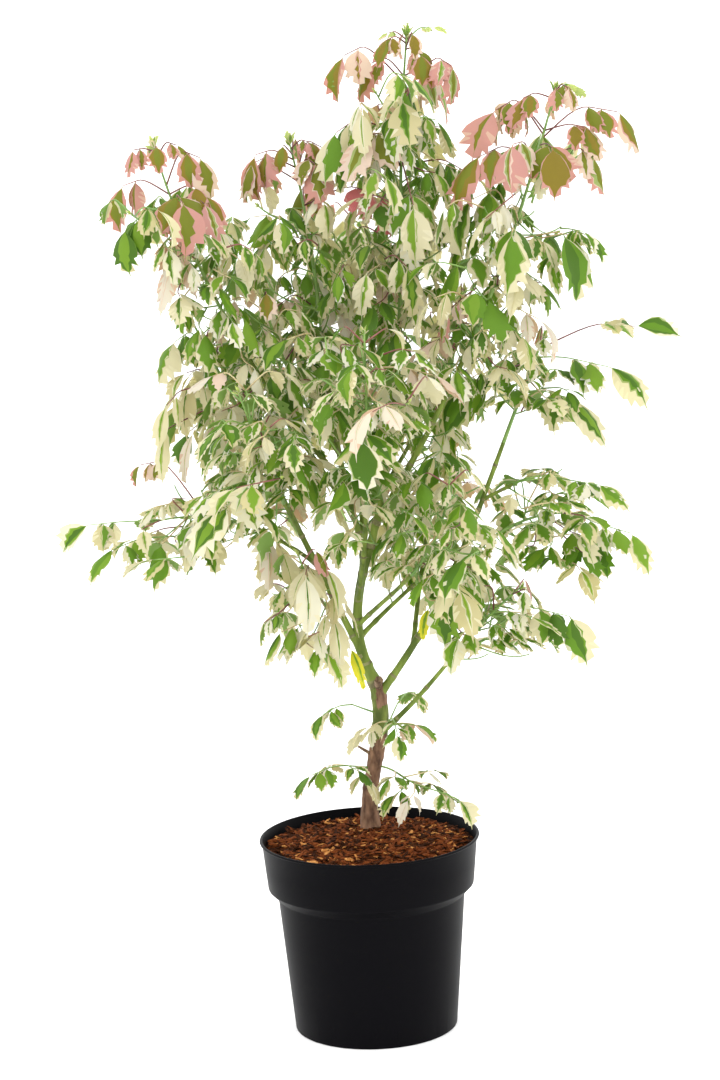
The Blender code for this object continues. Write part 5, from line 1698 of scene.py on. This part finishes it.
@dataclass
class Pot:
    """The round nursery pot, turned with its lip, band, foot groove and drainage notches."""

    sides: int = 160
    notches: int = 8
    notch_width: float = 0.020
    notch_height: float = 0.005
    notch_length: float = 0.024
    first_notch: float = math.radians(-83)
    base_radius: float = 0.089

    def profile(self) -> list[tuple[float, float]]:
        """Gives the closed profile of the shell as radius and height pairs."""
        return [
            (0, 0), (0.060, 0), (0.0606, 0.0008), (0.062, 0.006), (0.0855, 0.006), (0.0862, 0.0008),
            (0.0866, 0), (0.0875, 0), (0.0886, 0.0005), (0.0890, 0.0015), (0.0925, 0.0400), (0.0955, 0.075),
            (0.0988, 0.112), (0.1019, 0.148), (0.1022, 0.1492), (0.1030, 0.1503), (0.1115, 0.1590),
            (0.1123, 0.1598), (0.1126, 0.1610), (0.1150, 0.185), (0.1174, 0.2100), (0.1178, 0.2108),
            (0.1190, 0.2111), (0.1197, 0.2116), (0.1200, 0.2124), (0.1197, 0.2133), (0.1190, 0.2139),
            (0.1184, 0.2140), (0.1176, 0.2138), (0.1169, 0.2131), (0.1162, 0.2105), (0.1155, 0.2095),
            (0.1105, 0.161), (0.1000, 0.150), (0.0870, 0.0085), (0.061, 0.0085), (0.059, 0.0025), (0, 0.0025),
        ]

    def build(self) -> None:
        """Makes the pot and cuts its notches."""
        points = []
        faces = []
        rings = []
        for radius, height in self.profile():
            if radius == 0:
                rings.append([len(points)] * self.sides)
                points.append((0, 0, height))
                continue
            rings.append(list(range(len(points), len(points) + self.sides)))
            for side in range(self.sides):
                turn = 2 * math.pi * side / self.sides
                points.append((radius * math.cos(turn), radius * math.sin(turn), height))
        for low, high in zip(rings, rings[1:]):
            for side in range(self.sides):
                after = (side + 1) % self.sides
                corners = [low[side], low[after], high[after], high[side]]
                faces.append([corner for place, corner in enumerate(corners) if corner != corners[place - 1]])
        pot = new_object("nursery_pot", points, faces, [POT_PLASTIC.build()])
        self.cut_notches(pot)
        pot.data.shade_smooth()
        pot.data.set_sharp_from_angle(angle=math.radians(35))
        keep_piece(pot, "pot", "pot")

    def cut_notches(self, pot: bpy.types.Object) -> None:
        """Cuts the drainage notches into the foot."""
        points = []
        faces = []
        for count in range(self.notches):
            turn = self.first_notch + 2 * math.pi * count / self.notches
            outward = Vector((math.cos(turn), math.sin(turn), 0))
            half_width = outward.cross(UP) * (self.notch_width / 2)
            near = outward * (self.base_radius - self.notch_length / 2)
            far = outward * (self.base_radius + self.notch_length / 2)
            corners = [near + half_width, near - half_width, far - half_width, far + half_width]
            base = len(points)
            points += [corner + UP * height for height in (-self.notch_height, self.notch_height) for corner in corners]
            sides = [[3, 2, 1, 0], [4, 5, 6, 7], [0, 1, 5, 4], [1, 2, 6, 5], [2, 3, 7, 6], [3, 0, 4, 7]]
            faces += [[corner + base for corner in side] for side in sides]
        cutter = new_object("notches", points, faces, [])
        cut = pot.modifiers.new("notches", "BOOLEAN")
        cut.operation = "DIFFERENCE"
        cut.object = cutter
        graph = bpy.context.evaluated_depsgraph_get()
        mesh = bpy.data.meshes.new_from_object(pot.evaluated_get(graph))
        pot.modifiers.clear()
        pot.data = mesh
        bpy.data.objects.remove(cutter)


@dataclass
class Mulch:
    """The mound of shredded bark: a rough bed with chips strewn on it."""

    radius: float = 0.1145
    edge_drop: float = 0.0095
    rings: int = 46
    sides: int = 120
    counts: tuple[int, ...] = (520, 330, 70)
    longest: float = 0.026
    shapes: int = 6

    def height(self, x: float, y: float) -> float:
        """Gives the height of the bed at a place."""
        share = min(1.0, math.hypot(x, y) / self.radius)
        rough = noise.fractal(Vector((x * 90, y * 90, 3.0)), 1.0, 2.0, 4) * 0.0016
        return SOIL_CROWN_HEIGHT - 0.0012 - self.edge_drop * share**2.5 + rough

    def bed(self, radius: float) -> bpy.types.Object:
        """Makes a disc of the bed out to a radius."""
        points = [(0, 0, self.height(0, 0))]
        for ring in range(1, self.rings + 1):
            for side in range(self.sides):
                turn = 2 * math.pi * side / self.sides
                x = radius * ring / self.rings * math.cos(turn)
                y = radius * ring / self.rings * math.sin(turn)
                points.append((x, y, self.height(x, y)))
        faces = [(0, 1 + side, 1 + (side + 1) % self.sides) for side in range(self.sides)]
        for ring in range(self.rings - 1):
            for side in range(self.sides):
                low = 1 + ring * self.sides
                after = (side + 1) % self.sides
                faces.append((low + side, low + self.sides + side, low + self.sides + after, low + after))
        return new_object("mulch_bed", points, faces, [SOIL_BARK.build()])

    def chip(self, rng: random.Random) -> bpy.types.Mesh:
        """Makes one ragged shred of bark, one unit long."""
        points = []
        steps = 6
        for step in range(steps + 1):
            share = step / steps
            wide = 0.14 * (math.sin(math.pi * (0.08 + 0.84 * share)) ** 0.6) * rng.uniform(0.6, 1.3)
            thick = wide * rng.uniform(0.35, 0.6)
            bend = 0.06 * math.sin(share * 3.1) + rng.uniform(-0.02, 0.02)
            for turn in (0.4, 1.9, 3.5, 5.2):
                points.append((share - 0.5, wide * math.cos(turn) + bend, thick * math.sin(turn) + bend * 0.5))
        faces = [[3, 2, 1, 0], [steps * 4 + side for side in range(4)]]
        for step in range(steps):
            for side in range(4):
                low = step * 4 + side
                after = step * 4 + (side + 1) % 4
                faces.append([low, after, after + 4, low + 4])
        mesh = bpy.data.meshes.new("chip")
        mesh.from_pydata(points, [], faces)
        return mesh

    def strewing(self, name: str, chips: bpy.types.Collection, seed: int, finish: GrainFinish) -> tuple:
        """Builds the node tree that strews chips over a surface.

        Args:
            name: the tree's name.
            chips: the shapes to strew.
            seed: the seed of where they lie.
            finish: their finish.

        Returns:
            The tree, and its inputs for how many there are to a square metre and how long they are.
        """
        tree = bpy.data.node_groups.new(name, "GeometryNodeTree")
        face = tree.interface
        face.new_socket("Geometry", in_out="INPUT", socket_type="NodeSocketGeometry")
        density = face.new_socket("Density", in_out="INPUT", socket_type="NodeSocketFloat")
        longest = face.new_socket("Longest", in_out="INPUT", socket_type="NodeSocketFloat")
        face.new_socket("Geometry", in_out="OUTPUT", socket_type="NodeSocketGeometry")
        node = tree.nodes.new
        link = tree.links.new
        start, end = node("NodeGroupInput"), node("NodeGroupOutput")
        spread = node("GeometryNodeDistributePointsOnFaces")
        spread.inputs["Seed"].default_value = seed
        shapes = node("GeometryNodeCollectionInfo")
        shapes.inputs["Collection"].default_value = chips
        shapes.inputs["Separate Children"].default_value = True
        shapes.inputs["Reset Children"].default_value = True
        place = node("GeometryNodeInstanceOnPoints")
        place.inputs["Pick Instance"].default_value = True
        turn = node("FunctionNodeRandomValue")
        turn.data_type = "FLOAT_VECTOR"
        turn.inputs["Min"].default_value = (-0.5, -0.45, 0)
        turn.inputs["Max"].default_value = (0.5, 0.45, 6.283)
        turn.inputs["Seed"].default_value = seed + 1
        size = node("FunctionNodeRandomValue")
        size.inputs["Min"].default_value = 0.35
        size.inputs["Max"].default_value = 1.0
        size.inputs["Seed"].default_value = seed + 2
        scale = node("ShaderNodeMath")
        scale.operation = "MULTIPLY"
        real = node("GeometryNodeRealizeInstances")
        dress = node("GeometryNodeSetMaterial")
        dress.inputs["Material"].default_value = finish.build()
        link(start.outputs["Geometry"], spread.inputs["Mesh"])
        link(start.outputs["Density"], spread.inputs["Density"])
        link(spread.outputs["Points"], place.inputs["Points"])
        link(shapes.outputs["Instances"], place.inputs["Instance"])
        link(turn.outputs["Value"], place.inputs["Rotation"])
        link(size.outputs[1], scale.inputs[0])
        link(start.outputs["Longest"], scale.inputs[1])
        link(scale.outputs["Value"], place.inputs["Scale"])
        link(place.outputs["Instances"], real.inputs["Geometry"])
        link(real.outputs["Geometry"], dress.inputs["Geometry"])
        link(dress.outputs["Geometry"], end.inputs["Geometry"])
        return tree, density, longest

    def strew(self, bed: bpy.types.Object, name: str, count: int, seed: int, finish: GrainFinish) -> None:
        """Strews one kind of chip over the bed, and makes them one plain mesh.

        Args:
            bed: the surface they lie on.
            name: the piece's name.
            count: how many chips to a square metre, in hundreds.
            seed: the seed of their shapes and places.
            finish: their finish.
        """
        rng = random.Random(seed)
        chips = bpy.data.collections.new(name + "_shapes")
        for shape in range(self.shapes):
            chips.objects.link(bpy.data.objects.new(f"{name}_shape_{shape}", self.chip(rng)))
        tree, density, longest = self.strewing(name, chips, seed, finish)
        holder = bpy.data.objects.new(name + "_bed", bed.data)
        bpy.context.scene.collection.objects.link(holder)
        grow = holder.modifiers.new("strew", "NODES")
        grow.node_group = tree
        grow[density.identifier] = count * 100.0
        grow[longest.identifier] = self.longest
        graph = bpy.context.evaluated_depsgraph_get()
        mesh = bpy.data.meshes.new_from_object(holder.evaluated_get(graph))
        bpy.data.objects.remove(holder)
        for item in list(chips.objects):
            bpy.data.objects.remove(item)
        bpy.data.collections.remove(chips)
        piece = bpy.data.objects.new(name, mesh)
        bpy.context.scene.collection.objects.link(piece)
        keep_piece(piece, "mulch")

    def build(self) -> None:
        """Makes the bed and its three kinds of chips."""
        bed = self.bed(self.radius)
        field_bed = self.bed(self.radius - 0.012)
        names = ("mulch_red_brown", "mulch_dark", "mulch_ochre")
        for place, (name, count, finish) in enumerate(zip(names, self.counts, CHIP_FINISHES)):
            self.strew(field_bed, name, count, 11 + place, finish)
        bpy.data.objects.remove(field_bed)
        keep_piece(bed, "mulch", "soil")


@dataclass
class Studio:
    """The pale floor, the soft lights and the camera."""

    air: float = 1.92

    def build(self) -> None:
        """Sets the stage, the lights and the camera at the photo's angle."""
        corners = [(-30, -30, 0), (30, -30, 0), (30, 30, 0), (-30, 30, 0)]
        new_object("floor", corners, [(0, 1, 2, 3)], [FLOOR_FINISH.build()])
        self.light("key", (-1.8, -2.4, 3.4), 1.6, 18)
        self.light("fill", (2.8, -2.2, 1.8), 2.6, 12)
        self.light("back", (0.5, 3.0, 2.8), 2.6, 22)
        world = bpy.data.worlds.new("studio_air")
        world.use_nodes = True
        world.node_tree.nodes["Background"].inputs["Color"].default_value = (1, 1, 1, 1)
        world.node_tree.nodes["Background"].inputs["Strength"].default_value = self.air
        bpy.context.scene.world = world
        bpy.context.scene.view_settings.view_transform = "Standard"
        lens = bpy.data.cameras.new("photo_camera")
        lens.lens = 100
        lens.sensor_width = 36
        camera = bpy.data.objects.new("photo_camera", lens)
        bpy.context.scene.collection.objects.link(camera)
        camera.matrix_world = (
            Matrix.Translation((0, -EYE_DISTANCE, EYE_HEIGHT))
            @ Matrix.Rotation(-math.radians(EYE_PAN), 4, "Z")
            @ Matrix.Rotation(math.radians(90 - EYE_PITCH), 4, "X")
            @ Matrix.Rotation(-math.radians(EYE_ROLL), 4, "Z")
        )
        bpy.context.scene.camera = camera

    def light(self, name: str, place: tuple[float, float, float], size: float, power: float) -> None:
        """Hangs one soft square light that faces the plant."""
        lamp = bpy.data.lights.new(name, "AREA")
        lamp.shape = "SQUARE"
        lamp.size = size
        lamp.energy = power
        item = bpy.data.objects.new(name, lamp)
        bpy.context.scene.collection.objects.link(item)
        away = Vector((0, 0, 0.55)) - Vector(place)
        item.matrix_world = Matrix.Translation(place) @ away.to_track_quat("-Z", "Y").to_matrix().to_4x4()


def dress_stubs() -> None:
    """Gives the pruned stubs, which are shown as their solids, their bark."""
    bark = GrainFinish("stub_bark", (0.080, 0.045, 0.025), (0.250, 0.160, 0.090), 0.85, 200).build()
    for name in ("pruned_stub", "dead_twig"):
        frame["nodes"][name].data.materials.clear()
        frame["nodes"][name].data.materials.append(bark)


def barrier_trees(limbs: dict[str, Limb]) -> list[BVHTree]:
    """Gives search trees of the limbs, the stubs, the pot and the soil, for foliage to avoid."""
    trees = [limb.barrier() for limb in limbs.values() if limb.bare > 0]
    for name in ("pot", "soil", "pruned_stub", "dead_twig"):
        item = frame["nodes"][name]
        points = [tuple(item.matrix_world @ vertex.co) for vertex in item.data.vertices]
        trees.append(tree_of(points, [list(face.vertices) for face in item.data.polygons]))
    return trees


def main() -> None:
    """Builds the plant's pieces in order, then the stage."""
    logging.basicConfig(level=logging.INFO, format="%(name)s: %(message)s")
    limbs = grow_limbs()
    space = Space(limbs)
    settle_boughs(limbs, space)
    barriers = barrier_trees(limbs)
    Pot().build()
    Mulch().build()
    wood = Woodwork(limbs)
    wood.build_trunk()
    wood.build_boughs()
    dress_stubs()
    leaf_slots = [LEAF_FINISHES[tint].build() for tint in Tint]
    stalk_slots = [TWIG_GREEN.build(), STALK_RED.build(), STALK_TAN.build()]
    trees = []
    seen = SeenStems(limbs, space)
    masses = [Mass(limb, space, seen, barriers, trees).grow() for limb in limbs.values() if limb.leafy]
    LOG.info("%d leaves as in the solids", len(trees))
    for mass in masses:
        mass.add_placed_leaves(EXTRA_LEAVES, EXTRA_RULES)
    for mass in masses:
        mass.carry_on()
    leaflets = sum(mass.build(leaf_slots, stalk_slots) for mass in masses)
    LOG.info("%d leaves with %d leaflets in all", len(trees), leaflets)
    Studio().build()


if __name__ == "__main__":
    main()
